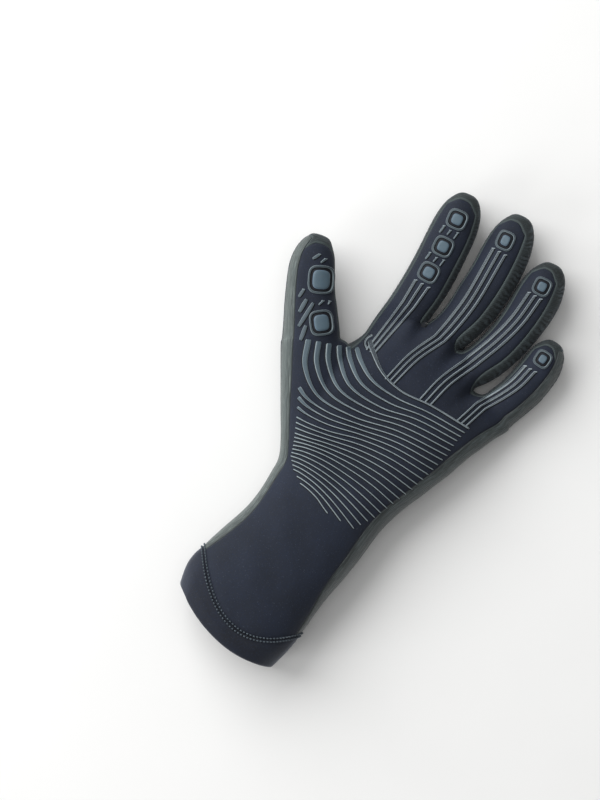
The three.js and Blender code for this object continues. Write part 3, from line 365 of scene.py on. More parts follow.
def hand_ring(row, index):
    """One ring of the hand: a squarish ellipse whose points sit where the seams need them."""
    zone = ZONES[row.zone]
    x0, x1 = (share * zone.width for share in row.edge)
    y0, y1 = (zone.start + share * zone.reach for share in row.along)
    centre, half_width = (x0 + x1) / 2, (x1 - x0) / 2
    half_depth = row.depth * zone.depth / 2
    insets = [share * zone.width for share in (*row.seam, *row.back)]
    turns = [np.arccos(signed_power(1 - inset / half_width, HAND_ROUNDNESS / 2))
             for inset in insets]
    seam_x = x0 + insets[0], x1 - insets[1], x0 + insets[2], x1 - insets[3]
    step = np.arange(HAND_STEPS)
    on_palm = step <= PALM_STEPS
    on_back = (step >= BACK_START) & (step <= BACK_START + PALM_STEPS)
    between = np.where(on_palm, step, BACK_START + PALM_STEPS - step)
    place = palm_share(np.clip(between, 0, PALM_STEPS))
    flat_x = np.where(on_palm, mix(seam_x[0], seam_x[1], place), mix(seam_x[2], seam_x[3], place))
    flat_angle = np.arccos(signed_power(np.clip((flat_x - centre) / half_width, -1, 1),
                                        HAND_ROUNDNESS / 2)) * np.where(on_palm, 1, -1)
    near = mix(turns[1], -turns[3], (step - PALM_STEPS) / SIDE_STEPS)
    far = mix(-np.pi + turns[2], -np.pi - turns[0], (step - BACK_START - PALM_STEPS) / SIDE_STEPS)
    angle = np.where(on_palm | on_back, flat_angle, np.where(step < BACK_START, near, far))
    round_x = centre + half_width * signed_power(np.cos(angle), 2 / HAND_ROUNDNESS)
    x = np.where(on_palm | on_back, flat_x, round_x)
    across = (x - centre) / half_width
    share = np.clip((x - x0) / (x1 - x0), 0, 1)
    split = np.where(on_palm | on_back, place, np.round(share))
    bow = np.where(on_palm, row.bow[0], row.bow[1]) * CUFF_LENGTH * (1 - across ** 2)
    banded = (index == len(HAND_ROWS) - 2) & on_back
    knuckle = np.where(banded, BAND_KNUCKLE, row.knuckle) * PALM_LENGTH
    y = mix(y0, y1, share) - bow + knuckle * across_splits(KNUCKLE_RISE, split)
    z = half_depth * signed_power(np.sin(angle), 2 / HAND_ROUNDNESS)
    pinched = (on_palm | on_back) & (between % FINGER_STEPS == 0) & (between % PALM_STEPS != 0)
    z = np.where(pinched, z * row.pinch, z) + half_depth - BACK_PRESS
    if row.zone != "cuff":
        spread = ((x - centre) / (PALM_HOLLOW_WIDTH / 2)) ** 2 + (y / (PALM_HOLLOW_LENGTH / 2)) ** 2
        z = z - np.where(on_palm, PALM_HOLLOW * np.exp(-spread), 0)
    return np.stack([x, y, np.maximum(z, 0)], axis=1)


def tip_taper(distance):
    """Share of full width at a distance from the tip, in widths: a squarish dome."""
    t = max(0, 1 - distance / TIP_REACH)
    return max(0, 1 - t ** TIP_ROUNDNESS) ** (1 / TIP_ROUNDNESS)


def branch_frame(branch, share):
    """Spine place, side direction and half sizes of a branch: a slanted line with a bulge."""
    power = math.log(0.5) / math.log(branch.bow_at)

    def spine(s):
        return branch.root[0] + branch.width * (
            branch.lean * s + branch.bow * math.sin(math.pi * min(s, 1) ** power))

    before, after = max(share - 0.01, 0), share + 0.01
    slope = (spine(after) - spine(before)) / ((after - before) * branch.length)
    heading = math.atan(slope) - branch.turn * max(0, 1 - share / TURN_REACH)
    grown = min(share / branch.flare_reach, 1)
    taper = tip_taper((1 - share) * branch.length / branch.width)
    return SimpleNamespace(
        centre=np.array([spine(share), branch.root[1] + share * branch.length]),
        side=np.array([math.cos(heading), -math.sin(heading)]),
        half_width=branch.width / 2 * mix(branch.flare, 1, grown) * taper,
        half_depth=branch.depth / 2 * mix(branch.deepen, 1, grown) * taper,
        height=branch.height(share))


def branch_points(branch, share, degrees):
    """Places of a branch's skin at one share of its length: a squarish ellipse."""
    at = branch_frame(branch, share)
    angle = np.radians(degrees)
    squeeze = np.where(np.cos(angle) < 0, *branch.squeeze)
    give = 1 - squeeze * max(0, 1 - (share / branch.ease) ** 2)
    across = give * at.half_width * signed_power(np.cos(angle), 2 / FINGER_ROUNDNESS)
    up = at.half_depth * signed_power(np.sin(angle), 2 / FINGER_ROUNDNESS)
    plan = at.centre + across[:, None] * at.side
    return np.column_stack([plan, np.maximum(at.height + up, 0)])


def branch_angles(branch):
    """Angles of a branch's ring, spread evenly between its four corners."""
    turns = [*branch.corners, branch.corners[0] - 360]
    return np.concatenate([mix(turns[k], turns[k + 1], np.arange(steps) / steps)
                           for k, steps in enumerate(branch.sides)])


def tongue_lag(branch):
    """How far each point of a tip row lags behind the middle of the palm's round tongue."""
    palm, near, back, far = branch.sides
    i = np.arange(branch.steps)
    return np.where(i <= palm, np.abs(2 * i / palm - 1) ** 3,
                    np.where(i <= palm + near, 1 - (i - palm) / near,
                             np.maximum(0, (i - palm - near - back) / far)))


def branch_rings(branch):
    """All rings of a branch above its root ring, and how far along each lies."""
    angles, lag = branch_angles(branch), tongue_lag(branch)
    tip_start = 1 - TIP_REACH * branch.width / branch.length
    shares = [share * tip_start for share in BODY_ROWS if share * tip_start >= branch.first_row]
    rings = [branch_points(branch, share, angles) for share in shares]
    for reach, arch in TIP_ROWS:
        share = 1 - reach * branch.width / branch.length
        rings.append(np.concatenate([
            branch_points(branch, share - arch * late * TONGUE_ROUND / branch.length,
                          np.array([angle])) for angle, late in zip(angles, lag)]))
        shares.append(share)
    return rings, shares


class Net:
    """Points of the skin with their wall weight and place along, and faces with their panel."""

    def __init__(self):
        self.points, self.quads, self.panels, self.grain, self.size = [], [], [], [], 0

    def add_points(self, places, wall, along):
        count = len(places)
        columns = np.column_stack([places, np.full(count, wall, float) if np.isscalar(wall)
                                   else wall, np.full(count, along, float)])
        self.points.append(columns)
        self.size += count
        return np.arange(self.size - count, self.size)

    def place(self, index):
        return np.concatenate(self.points)[index, :3]

    def add_band(self, low, high, panels, start, along_low, along_high, closed=True):
        """Faces between two rings; grain runs round in steps and along in millimetres."""
        count = len(low) if closed else len(low) - 1
        step = np.arange(count)
        after = (step + 1) % len(low)
        quads = np.stack([low[step], low[after], high[after], high[step]], axis=1)
        u = np.stack([step, step + 1, step + 1, step], axis=1) + start
        v = np.broadcast_to([along_low, along_low, along_high, along_high], (count, 4))
        keep = panels >= 0
        self.quads.append(quads[keep])
        self.panels.append(panels[keep])
        self.grain.append(np.stack([u, v], axis=2)[keep])


def hand_panels(row):
    """Panel of each face in a row of the hand; the thumb's patch has none."""
    step = np.arange(HAND_STEPS)
    if row < HEM_TOP_ROW:
        return np.full(HAND_STEPS, PANEL["hem"])
    back = "cuff_back" if row < CUFF_BACK_TOP_ROW else "hand_back"
    panels = np.full(HAND_STEPS, PANEL[back])
    panels[step < PALM_STEPS] = PANEL["palm_panel"]
    panels[(step >= PALM_STEPS) & (step < PALM_STEPS + SIDE_STEPS // 2)] = \
        PANEL["side_strip_little"]
    if row < THUMB_LAST:
        panels[step >= HAND_STEPS - SIDE_STEPS // 2] = PANEL["side_strip_thumb"]
    if row == len(HAND_ROWS) - 2:
        first = BACK_START + FINGER_STEPS
        panels[first:first + 2 * FINGER_STEPS] = PANEL["knuckle_band"]
    if THUMB_FIRST <= row < THUMB_LAST:
        panels[BACK_START + PALM_STEPS:] = -1
    return panels


def branch_panels(branch, row):
    """Panel of each face in a row of a branch: palm tongue, tape where it runs up, back."""
    palm, near = branch.sides[:2]
    panels = np.full(branch.steps, PANEL[BACK_PANELS[branch.name]])
    if branch.name == "thumb":
        panels[branch.steps - SIDE_STEPS // 2:] = PANEL["side_strip_thumb"]
    if branch.name == "little":
        panels[palm:palm + near // 2] = PANEL["side_strip_little"]
    if row < branch.navy_rows:
        panels[:palm] = PANEL["palm_panel"]
    return panels


def add_cap(net, branch, ring, along):
    """Closes a tip with a grid blended between its four sides and domed along the spine."""
    wide, deep = branch.sides[:2]
    ids = np.full((deep + 1, wide + 1), -1)
    i, j = np.arange(wide + 1), np.arange(deep + 1)
    ids[:, 0] = ring[(2 * wide + deep + (deep - j)) % len(ring)]
    ids[deep] = ring[wide + deep + (wide - i)]
    ids[:, wide] = ring[wide + j]
    ids[0] = ring[i]
    rim = net.place(ids)
    u, v = (i / wide)[None, :, None], (j / deep)[:, None, None]
    grid = (mix(rim[:, :1], rim[:, -1:], u) + mix(rim[:1], rim[-1:], v)
            - mix(mix(rim[:1, :1], rim[:1, -1:], u), mix(rim[-1:, :1], rim[-1:, -1:], u), v))
    reach = TIP_ROWS[-1][0] * branch.width
    side = branch_frame(branch, 1 - reach / branch.length).side
    ahead = np.array([-side[1], side[0], 0])
    grid = grid + ahead * reach * np.sqrt(16 * u * (1 - u) * v * (1 - v))
    ids[1:-1, 1:-1] = net.add_points(grid[1:-1, 1:-1].reshape(-1, 3), 0, along).reshape(
        deep - 1, wide - 1)
    panel = np.full(wide, PANEL[BACK_PANELS[branch.name]])
    for row in range(deep):
        net.add_band(ids[row], ids[row + 1], panel, branch.ring, along, along, closed=False)


def grown(row, **more):
    """A branch of the table with what its place on the hand gives it."""
    branch = SimpleNamespace(**row._asdict(), **more)
    branch.steps = sum(branch.sides)
    return branch


def add_branch(net, branch, root, rings, shares, root_along, base_along):
    """Joins a stack of rings to its root ring on the hand and closes the tip.

    root_along and base_along: how far along the root ring and the branch's own start lie.
    """
    palm, near, back, far = branch.sides
    i = np.arange(branch.steps)
    weight = np.clip(np.maximum(1 - np.abs(i - palm - near / 2) / (near / 2),
                                1 - np.abs(i - palm - near - back - far / 2) / (far / 2)), 0, 1)
    along = [root_along] + [base_along + share * branch.length for share in shares]
    stack = [root] + [net.add_points(ring, weight, at) for ring, at in zip(rings, along[1:])]
    for row in range(len(stack) - 1):
        net.add_band(stack[row], stack[row + 1], branch_panels(branch, row), branch.ring,
                     along[row], along[row + 1])
    add_cap(net, branch, stack[-1], along[-1])


@functools.lru_cache(maxsize=None)
def glove_net():
    """The whole skin's net of four-sided faces, its rows, and its branches by name."""
    net = Net()
    rings = [hand_ring(row, index) for index, row in enumerate(HAND_ROWS)]
    rows = [net.add_points(ring, 0, ring[:, 1].mean()) for ring in rings]
    for row in range(len(rows) - 1):
        net.add_band(rows[row], rows[row + 1], hand_panels(row), 0,
                     rings[row][:, 1].mean(), rings[row + 1][:, 1].mean())
    knuckles = rows[-1]
    knuckle_along = rings[-1][:, 1].mean()
    webs = []
    for k in (1, 2, 3):
        top = knuckles[k * FINGER_STEPS]
        bottom = knuckles[BACK_START + PALM_STEPS - k * FINGER_STEPS]
        share = (np.arange(1, SIDE_STEPS) / SIDE_STEPS)[:, None]
        places = mix(net.place(top), net.place(bottom), share)
        places[:, 1:2] += WEB_RISE * 4 * share * (1 - share)
        between = net.add_points(places, 0.5, knuckle_along)
        webs.append(np.concatenate([[top], between, [bottom]]))
    branches = {}
    for k, table in enumerate(FINGERS):
        palm = knuckles[k * FINGER_STEPS:(k + 1) * FINGER_STEPS]
        back_from = BACK_START + PALM_STEPS - (k + 1) * FINGER_STEPS
        back = knuckles[back_from:back_from + FINGER_STEPS]
        near = webs[k][:-1] if k < 3 else knuckles[PALM_STEPS:BACK_START]
        far = webs[k - 1][:0:-1] if k > 0 else knuckles[BACK_START + PALM_STEPS:]
        left = net.place(palm[0] if k > 0 else far[SIDE_STEPS // 2])
        right = net.place(near[0] if k < 3 else near[SIDE_STEPS // 2])
        finger = grown(
            table, sides=(FINGER_STEPS, SIDE_STEPS, FINGER_STEPS, SIDE_STEPS),
            root=mix(left, right, 0.5), flare_reach=0.2, deepen=1, first_row=0,
            navy_rows=NAVY_ROWS,
            height=lambda share, d=table.depth: d / 2 - BACK_PRESS / 2 + FINGER_LIFT * share ** 2)
        add_branch(net, finger, np.concatenate([palm, near, back, far]), *branch_rings(finger),
                   knuckle_along, knuckle_along)
        branches[table.name] = finger
    thumb_rows = rows[THUMB_FIRST:THUMB_LAST + 1]
    root = np.array([
        *(row[0] for row in thumb_rows[:-1]), rows[THUMB_LAST][0],
        *rows[THUMB_LAST][BACK_START + PALM_STEPS + 1:][::-1],
        *(row[BACK_START + PALM_STEPS] for row in thumb_rows[::-1][:-1]),
        *rows[THUMB_FIRST][BACK_START + PALM_STEPS:]])
    count = THUMB_LAST - THUMB_FIRST
    thumb = grown(THUMB, sides=(count, SIDE_STEPS, count, SIDE_STEPS),
                  root=(THUMB_ROOT[0] * PALM_WIDTH, THUMB_ROOT[1] * PALM_LENGTH),
                  flare_reach=0.5, deepen=1.28, first_row=0.05,
                  navy_rows=THUMB_FAN_ROWS + NAVY_ROWS + 1,
                  height=lambda share: THUMB_HEIGHT + THUMB_LIFT * share)
    base = branch_points(thumb, 0, branch_angles(thumb))
    start = net.place(root)
    fan = [mix(start, base, k / (THUMB_FAN_ROWS + 1)) for k in range(1, THUMB_FAN_ROWS + 1)]
    more, shares = branch_rings(thumb)
    add_branch(net, thumb, root, [*fan, base, *more], [*THUMB_FAN_SHARES, *shares],
               rings[THUMB_FIRST][:, 1].mean(), THUMB_ALONG)
    branches["thumb"] = thumb
    return net, np.array(rows), branches


def subdivided(points, quads):
    """One round of Catmull-Clark: face middles, edge points and old points drawn in.

    An open edge keeps to the cubic curve through its own points.
    """
    n = len(points)
    middles = points[quads].mean(axis=1)
    starts, ends = quads.ravel(), np.roll(quads, -1, axis=1).ravel()
    keys = np.minimum(starts, ends).astype(np.int64) * n + np.maximum(starts, ends)
    edges, inverse, counts = np.unique(keys, return_inverse=True, return_counts=True)
    inverse = inverse.reshape(-1)
    a, b = edges // n, edges % n
    halves = (points[a] + points[b]) / 2
    beside = scatter(inverse, np.repeat(middles, 4, axis=0), len(edges))
    shared = (counts == 2)[:, None]
    edge_points = np.where(shared, (2 * halves + beside) / 4, halves)
    valence = np.bincount(starts, minlength=n)[:, None]
    faces_sum = scatter(starts, np.repeat(middles, 4, axis=0), n) / valence
    both = np.concatenate([a, b])
    edge_count = np.bincount(both, minlength=n)[:, None]
    edge_sum = scatter(both, np.concatenate([halves, halves]), n) / edge_count
    inner = (faces_sum + 2 * edge_sum + (edge_count - 3) * points) / edge_count
    open_edge = counts == 1
    rim = np.concatenate([a[open_edge], b[open_edge]])
    rim_sum = scatter(rim, np.concatenate([halves[open_edge]] * 2), n)
    on_rim = np.bincount(rim, minlength=n)[:, None] > 0
    old = np.where(on_rim, points / 2 + rim_sum / 4, inner)
    edge_ids = inverse.reshape(-1, 4) + n
    face_ids = np.broadcast_to((np.arange(len(quads)) + n + len(edges))[:, None], quads.shape)
    small = np.stack([quads, edge_ids, face_ids, np.roll(edge_ids, 1, axis=1)], axis=2)
    return np.concatenate([old, edge_points, middles]), small.reshape(-1, 4)


def subdivided_corners(corners):
    """Corner values of the four small faces of each face, halved along its edges."""
    after, before = np.roll(corners, -1, axis=1), np.roll(corners, 1, axis=1)
    middle = np.broadcast_to(corners.mean(axis=1, keepdims=True), corners.shape)
    small = np.stack([corners, (corners + after) / 2, middle, (corners + before) / 2], axis=2)
    return small.reshape(-1, 4, corners.shape[2])


def vertex_normals(points, quads):
    """Mean direction of the faces round each point, weighted by their area."""
    corners = points[quads]
    faces = np.cross(corners[:, 2] - corners[:, 0], corners[:, 3] - corners[:, 1])
    return unit(scatter(quads.ravel(), np.repeat(faces, 4, axis=0), len(points)))


def hand_patch(net, rows):
    """Fitted net of the cuff's rows, with a phantom row below the open edge."""
    grid = net[rows[:CUFF_PATCH_ROWS], :3]
    return np.concatenate([2 * grid[:1] - grid[1:2], grid])


def curve_distance(places, line):
    """Signed distance of plan places from a line and how far along it each lies."""
    start, step = line[:-1], np.diff(line, axis=0)
    length = np.linalg.norm(step, axis=1)
    before = np.concatenate([[0], np.cumsum(length)[:-1]])
    best = np.full(len(places), np.inf)
    signed, along = np.zeros(len(places)), np.zeros(len(places))
    for k in range(len(step)):
        t = np.clip(((places - start[k]) @ step[k]) / length[k] ** 2, 0, 1)
        off = places - start[k] - t[:, None] * step[k]
        far = np.linalg.norm(off, axis=1)
        nearer = far < best
        side = np.sign(step[k][0] * off[:, 1] - step[k][1] * off[:, 0])
        best = np.where(nearer, far, best)
        signed = np.where(nearer, side * far, signed)
        along = np.where(nearer, before[k] + t * length[k], along)
    return signed, along


def wrinkles(places, wall, along, normals):
    """Small creases in millimetres along the normal.

    Cross grooves on the finger walls are sharpened sine waves of the place along the finger,
    faded in and out by slower waves. Long soft swells cover the rest.
    """
    x, y, z = places.T
    phase = along / 5.2 + 0.11 * z + 0.35 * np.sin(along / 6.1 + x / 9)
    groove = np.maximum(0, np.sin(2 * np.pi * phase)) ** 4
    fade = 0.55 + 0.45 * np.sin(along / 11.3 + x / 17)
    cross = -0.5 * np.clip(wall * 1.4, 0, 1) * groove * fade * (along > CREASES_FROM)
    swell = 0.16 * np.sin(x / 8.3 + 1.7 * np.sin(y / 13.1)) * np.sin(y / 9.7 + z / 7)
    swell += 0.12 * np.sin(x / 4.1 + y / 5.3 + 2 * np.sin(z / 6))
    return cross + swell * (0.35 + 0.65 * np.abs(normals[:, 2]))


@functools.lru_cache(maxsize=None)
def glove_skin(rounds, seam_depth):
    """The smooth skin: the net fitted so that its smooth surface meets the solids' corners."""
    net, rows, branches = glove_net()
    quads, panels = np.concatenate(net.quads), np.concatenate(net.panels)
    grain, cage = np.concatenate(net.grain).astype(float), np.concatenate(net.points)
    target, used = cage.copy(), np.unique(quads)
    for _ in range(FIT_ROUNDS):
        points = subdivided(*subdivided(cage, quads))[0]
        cage[used, :3] += (target - points[:len(cage)])[used, :3] * FIT_STEP
    points = cage
    for _ in range(rounds):
        points, quads = subdivided(points, quads)
        panels, grain = np.repeat(panels, 4), subdivided_corners(grain)
    wall, along = points[:, 3], points[:, 4]
    places = points[:, :3].copy()
    normals = vertex_normals(places, quads)
    places += normals * wrinkles(places, wall, along, normals)[:, None]
    starts, ends = quads.ravel(), np.roll(quads, -1, axis=1).ravel()
    low = np.full(len(places), 99)
    high = np.full(len(places), -1)
    np.minimum.at(low, starts, np.repeat(panels, 4))
    np.maximum.at(high, starts, np.repeat(panels, 4))
    seam = (low != high).astype(float)
    keys = np.minimum(starts, ends).astype(np.int64) * len(places) + np.maximum(starts, ends)
    edges, counts = np.unique(keys, return_counts=True)
    rim = np.zeros(len(places), bool)
    rim[edges[counts == 1] // len(places)] = True
    rim[edges[counts == 1] % len(places)] = True
    near = seam.copy()
    for fall in (0.45, 0.2):
        spread = np.zeros(len(places))
        np.maximum.at(spread, starts, seam[ends])
        np.maximum.at(spread, ends, seam[starts])
        near = np.maximum(near, fall * (spread > 0))
        seam = np.maximum(seam, (spread > 0).astype(float))
    near[rim] = 0
    places -= normals * (seam_depth * near)[:, None]
    places[:, 2] = np.maximum(places[:, 2], 0)
    return SimpleNamespace(places=places, quads=quads, panels=panels, grain=grain, wall=wall,
                           along=along, normals=vertex_normals(places, quads), seam=near,
                           rim=rim, net=cage, rows=rows, branches=branches)


@functools.lru_cache(maxsize=None)
def height_map(skin_key):
    """Mean height of the highest skin in each cell of the plan, softened once.

    Each face that looks up is scattered as a fine grid of points blended from its corners.
    """
    skin = glove_skin(*skin_key)
    corners = skin.places[skin.quads]
    up = np.cross(corners[:, 2] - corners[:, 0], corners[:, 3] - corners[:, 1])[:, 2] > 0
    corners = corners[up]
    share = (np.arange(6) + 0.5) / 6
    u, v = (axis.ravel()[None, :, None] for axis in np.meshgrid(share, share))
    a, b, c, d = (corners[:, None, k] for k in range(4))
    cloud = mix(mix(a, b, u), mix(d, c, u), v).reshape(-1, 3)
    cell = np.floor((cloud[:, :2] - MAP_LOW) / MAP_CELL).astype(int)
    flat = cell[:, 0] * MAP_CELLS[1] + cell[:, 1]
    top = np.full(MAP_CELLS[0] * MAP_CELLS[1], -1e9)
    np.maximum.at(top, flat, cloud[:, 2])
    kept = cloud[:, 2] > top[flat] - 0.6
    count = np.bincount(flat[kept], minlength=len(top))
    total = np.bincount(flat[kept], cloud[kept, 2], len(top))
    grid = np.where(count > 0, total / np.maximum(count, 1), np.nan).reshape(MAP_CELLS)
    for _ in range(6):
        padded = np.pad(grid, 1, constant_values=np.nan)
        around = np.stack([padded[1 + i:padded.shape[0] - 1 + i, 1 + j:padded.shape[1] - 1 + j]
                           for i in (-1, 0, 1) for j in (-1, 0, 1)])
        known = ~np.isnan(around)
        filled = np.where(known, around, 0).sum(axis=0) / np.maximum(known.sum(axis=0), 1)
        grid = np.where(np.isnan(grid) & known.any(axis=0), filled, grid)
    grid = np.nan_to_num(grid)
    soft = np.pad(grid, 1, mode="edge")
    return (soft[:-2, 1:-1] + soft[2:, 1:-1] + soft[1:-1, :-2] + soft[1:-1, 2:]
            + 4 * soft[1:-1, 1:-1]) / 8


def laid_on_skin(skin_key, plan, rise):
    """Places above the skin under plan places: the map's height, moved along its slope's normal."""
    grid = height_map(skin_key)
    plan = np.asarray(plan, float)

    def sample(at):
        cell = (at - MAP_LOW) / MAP_CELL - 0.5
        i = np.clip(np.floor(cell).astype(int), 0, np.array(grid.shape) - 2)
        t = np.clip(cell - i, 0, 1)
        x, y = i[..., 0], i[..., 1]
        return mix(mix(grid[x, y], grid[x + 1, y], t[..., 0]),
                   mix(grid[x, y + 1], grid[x + 1, y + 1], t[..., 0]), t[..., 1])

    slope = [(sample(plan + step) - sample(plan - step)) / (2 * SLOPE_REACH)
             for step in (np.array([SLOPE_REACH, 0]), np.array([0, SLOPE_REACH]))]
    normal = unit(np.stack([-slope[0], -slope[1], np.full(plan.shape[:-1], 1.0)], axis=-1))
    ground = np.concatenate([plan, sample(plan)[..., None]], axis=-1)
    return ground + normal * np.asarray(rise)[..., None]


def skin_key():
    """Rounds of smoothing and the seams' depth as the settings give them."""
    settings = bpy.context.scene.glove
    return settings.smoothing, round(settings.seam_depth / MM, 4)


def on_branch(branch, along, aside):
    """Plan place at a share of a branch's length and of its width off the spine."""
    at = branch_frame(branch, along)
    return at.centre + aside * branch.width * at.side


def tube_faces(stations, ring, tubes=1):
    """Faces of tubes whose points run ring by ring, and the polygons that close their ends."""
    s, r = np.meshgrid(np.arange(stations - 1), np.arange(ring), indexing="ij")
    after = (r + 1) % ring
    quads = np.stack([s * ring + r, s * ring + after, (s + 1) * ring + after,
                      (s + 1) * ring + r], axis=-1).reshape(-1, 4)
    shift = (np.arange(tubes) * stations * ring)[:, None, None]
    first = np.arange(ring)[::-1]
    last = np.arange(ring) + (stations - 1) * ring
    return (quads[None] + shift).reshape(-1, 4), np.concatenate(
        [first + shift[:, 0], last + shift[:, 0]])


def make_piece(name, places, faces, materials, replaces=(), kinds=None, values=None,
               grain=None):
    mesh = bpy.data.meshes.new(name)
    mesh.from_pydata((np.asarray(places).reshape(-1, 3) * MM).tolist(), [],
                     [face for group in faces for face in np.asarray(group).tolist()])
    mesh.polygons.foreach_set("use_smooth", np.ones(len(mesh.polygons), bool))
    for label, numbers in (values or {}).items():
        layer = mesh.attributes.new(label, "FLOAT", "POINT")
        layer.data.foreach_set("value", np.asarray(numbers, np.float32).ravel())
    if grain is not None:
        layer = mesh.uv_layers.new(name="grain")
        layer.data.foreach_set("uv", np.asarray(grain, np.float32).ravel())
    for material in materials:
        mesh.materials.append(material)
    if kinds is not None:
        mesh.polygons.foreach_set("material_index", np.asarray(kinds, np.int32))
    mesh.update()
    piece = bpy.data.objects.new(name, mesh)
    bpy.context.scene.collection.objects.link(piece)
    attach(piece, "root")
    if replaces:
        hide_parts(*replaces)
    return piece


def panel_surface(skin, name, wall):
    """A panel: its part of the skin, the same a wall further in, and rounded edges between.

    The edge turns from the outer to the inner face; at the open hem it bulges by a half circle.
    """
    mine = skin.panels == PANEL[name]
    used, local = np.unique(skin.quads[mine], return_inverse=True)
    local = local.reshape(-1, 4)
    count = len(used)
    outer, normals = skin.places[used].copy(), skin.normals[used]
    starts, ends = local.ravel(), np.roll(local, -1, axis=1).ravel()
    border = ~np.isin(starts * count + ends, ends * count + starts)
    starts, ends = starts[border], ends[border]
    run = unit(outer[ends] - outer[starts])
    inward = scatter(np.concatenate([starts, ends]),
                     np.concatenate([np.cross(normals[starts], run),
                                     np.cross(normals[ends], run)]), count)
    inward = unit(inward) * (np.linalg.norm(inward, axis=1, keepdims=True) > 1e-9)
    closed = ~skin.rim[used]
    outer += inward * (0.12 * closed)[:, None]
    inner = outer - normals * wall
    layers = [outer]
    rings = 6 if name == "hem" else 3
    for k in range(1, rings):
        turn = np.pi * k / rings
        bulge = np.where(closed, 0.0, wall / 2 * math.sin(turn))
        share = np.where(closed, k / rings, (1 - math.cos(turn)) / 2)
        layers.append(outer - normals * (wall * share)[:, None] - inward * bulge[:, None])
    layers.append(inner)
    rim_ids = np.unique(starts)
    places = [outer, inner]
    ids = [np.arange(count)]
    for k, layer in enumerate(layers[1:-1]):
        table = np.zeros(count, int)
        table[rim_ids] = 2 * count + k * len(rim_ids) + np.arange(len(rim_ids))
        ids.append(table)
        places.append(layer[rim_ids])
    ids.append(np.arange(count) + count)
    edges = [np.stack([low[ends], low[starts], high[starts], high[ends]], axis=1)
             for low, high in zip(ids, ids[1:])]
    faces = [local, (local + count)[:, ::-1], *edges]
    grain = skin.grain[mine]
    edge_count = sum(len(group) for group in edges)
    corners = np.concatenate([grain, grain[:, ::-1], np.zeros((edge_count, 4, 2))])
    if edge_count:
        corners[2 * len(local):] = grain[:1]
    kinds = np.concatenate([np.zeros(len(local)), np.ones(len(local)), np.zeros(edge_count)])
    extra = len(layers) - 2
    values = {label: np.concatenate([numbers[used], numbers[used]]
                                    + [numbers[used][rim_ids]] * extra)
              for label, numbers in (("wall", skin.wall), ("along", skin.along),
                                     ("seam", skin.seam))}
    return np.concatenate(places), faces, corners, kinds, values


# Materials

def linear(code, alpha=1.0):
    """Linear colour of an sRGB hex value."""
    parts = [int(code[i:i + 2], 16) / 255 for i in (1, 3, 5)]
    return (*(c / 12.92 if c <= 0.04045 else ((c + 0.055) / 1.055) ** 2.4 for c in parts), alpha)


def add_node(tree, kind, sockets=None, **settings):
    """Adds a node, sets its attributes, and sets or links the sockets named or numbered."""
    node = tree.nodes.new(kind)
    for name, value in settings.items():
        setattr(node, name, value)
    for key, value in (sockets or {}).items():
        if isinstance(value, bpy.types.NodeSocket):
            tree.links.new(value, node.inputs[key])
        else:
            node.inputs[key].default_value = value
    return node


def new_material(name):
    """An empty material with its surface shader and the place on the object in millimetres."""
    material = bpy.data.materials.new(name)
    material.use_nodes = True
    tree = material.node_tree
    tree.nodes.clear()
    shader = add_node(tree, "ShaderNodeBsdfPrincipled")
    add_node(tree, "ShaderNodeOutputMaterial", {"Surface": shader.outputs[0]})
    coords = add_node(tree, "ShaderNodeTexCoord")
    place = add_node(tree, "ShaderNodeMapping",
                     {"Vector": coords.outputs["Object"], "Scale": (1 / MM,) * 3})
    return material, tree, shader, place.outputs[0]


def noise(tree, place, size, detail=2.0, rough=0.5, distortion=0.0):
    """Value noise whose lumps are about size millimetres."""
    return add_node(tree, "ShaderNodeTexNoise",
                    {"Vector": place, "Scale": 1 / size, "Detail": detail, "Roughness": rough,
                     "Distortion": distortion}).outputs["Fac"]


def maths(tree, operation, a, b=0.5, c=0.5, clamp=False):
    """One arithmetic step."""
    return add_node(tree, "ShaderNodeMath", {0: a, 1: b, 2: c}, operation=operation,
                    use_clamp=clamp).outputs[0]


def ramp(tree, value, low, high, start=0.0, end=1.0):
    """A value mapped from one range to another and held at its ends."""
    return add_node(tree, "ShaderNodeMapRange",
                    {0: value, 1: low, 2: high, 3: start, 4: end}, clamp=True).outputs[0]


def blended(tree, share, a, b, kind="MIX"):
    """Two colours blended by a share."""
    return add_node(tree, "ShaderNodeMix", {0: share, 6: a, 7: b}, data_type="RGBA",
                    blend_type=kind).outputs[2]


def value_of(tree, label):
    """A number that the piece carries at its points."""
    return add_node(tree, "ShaderNodeAttribute", attribute_name=label).outputs["Fac"]


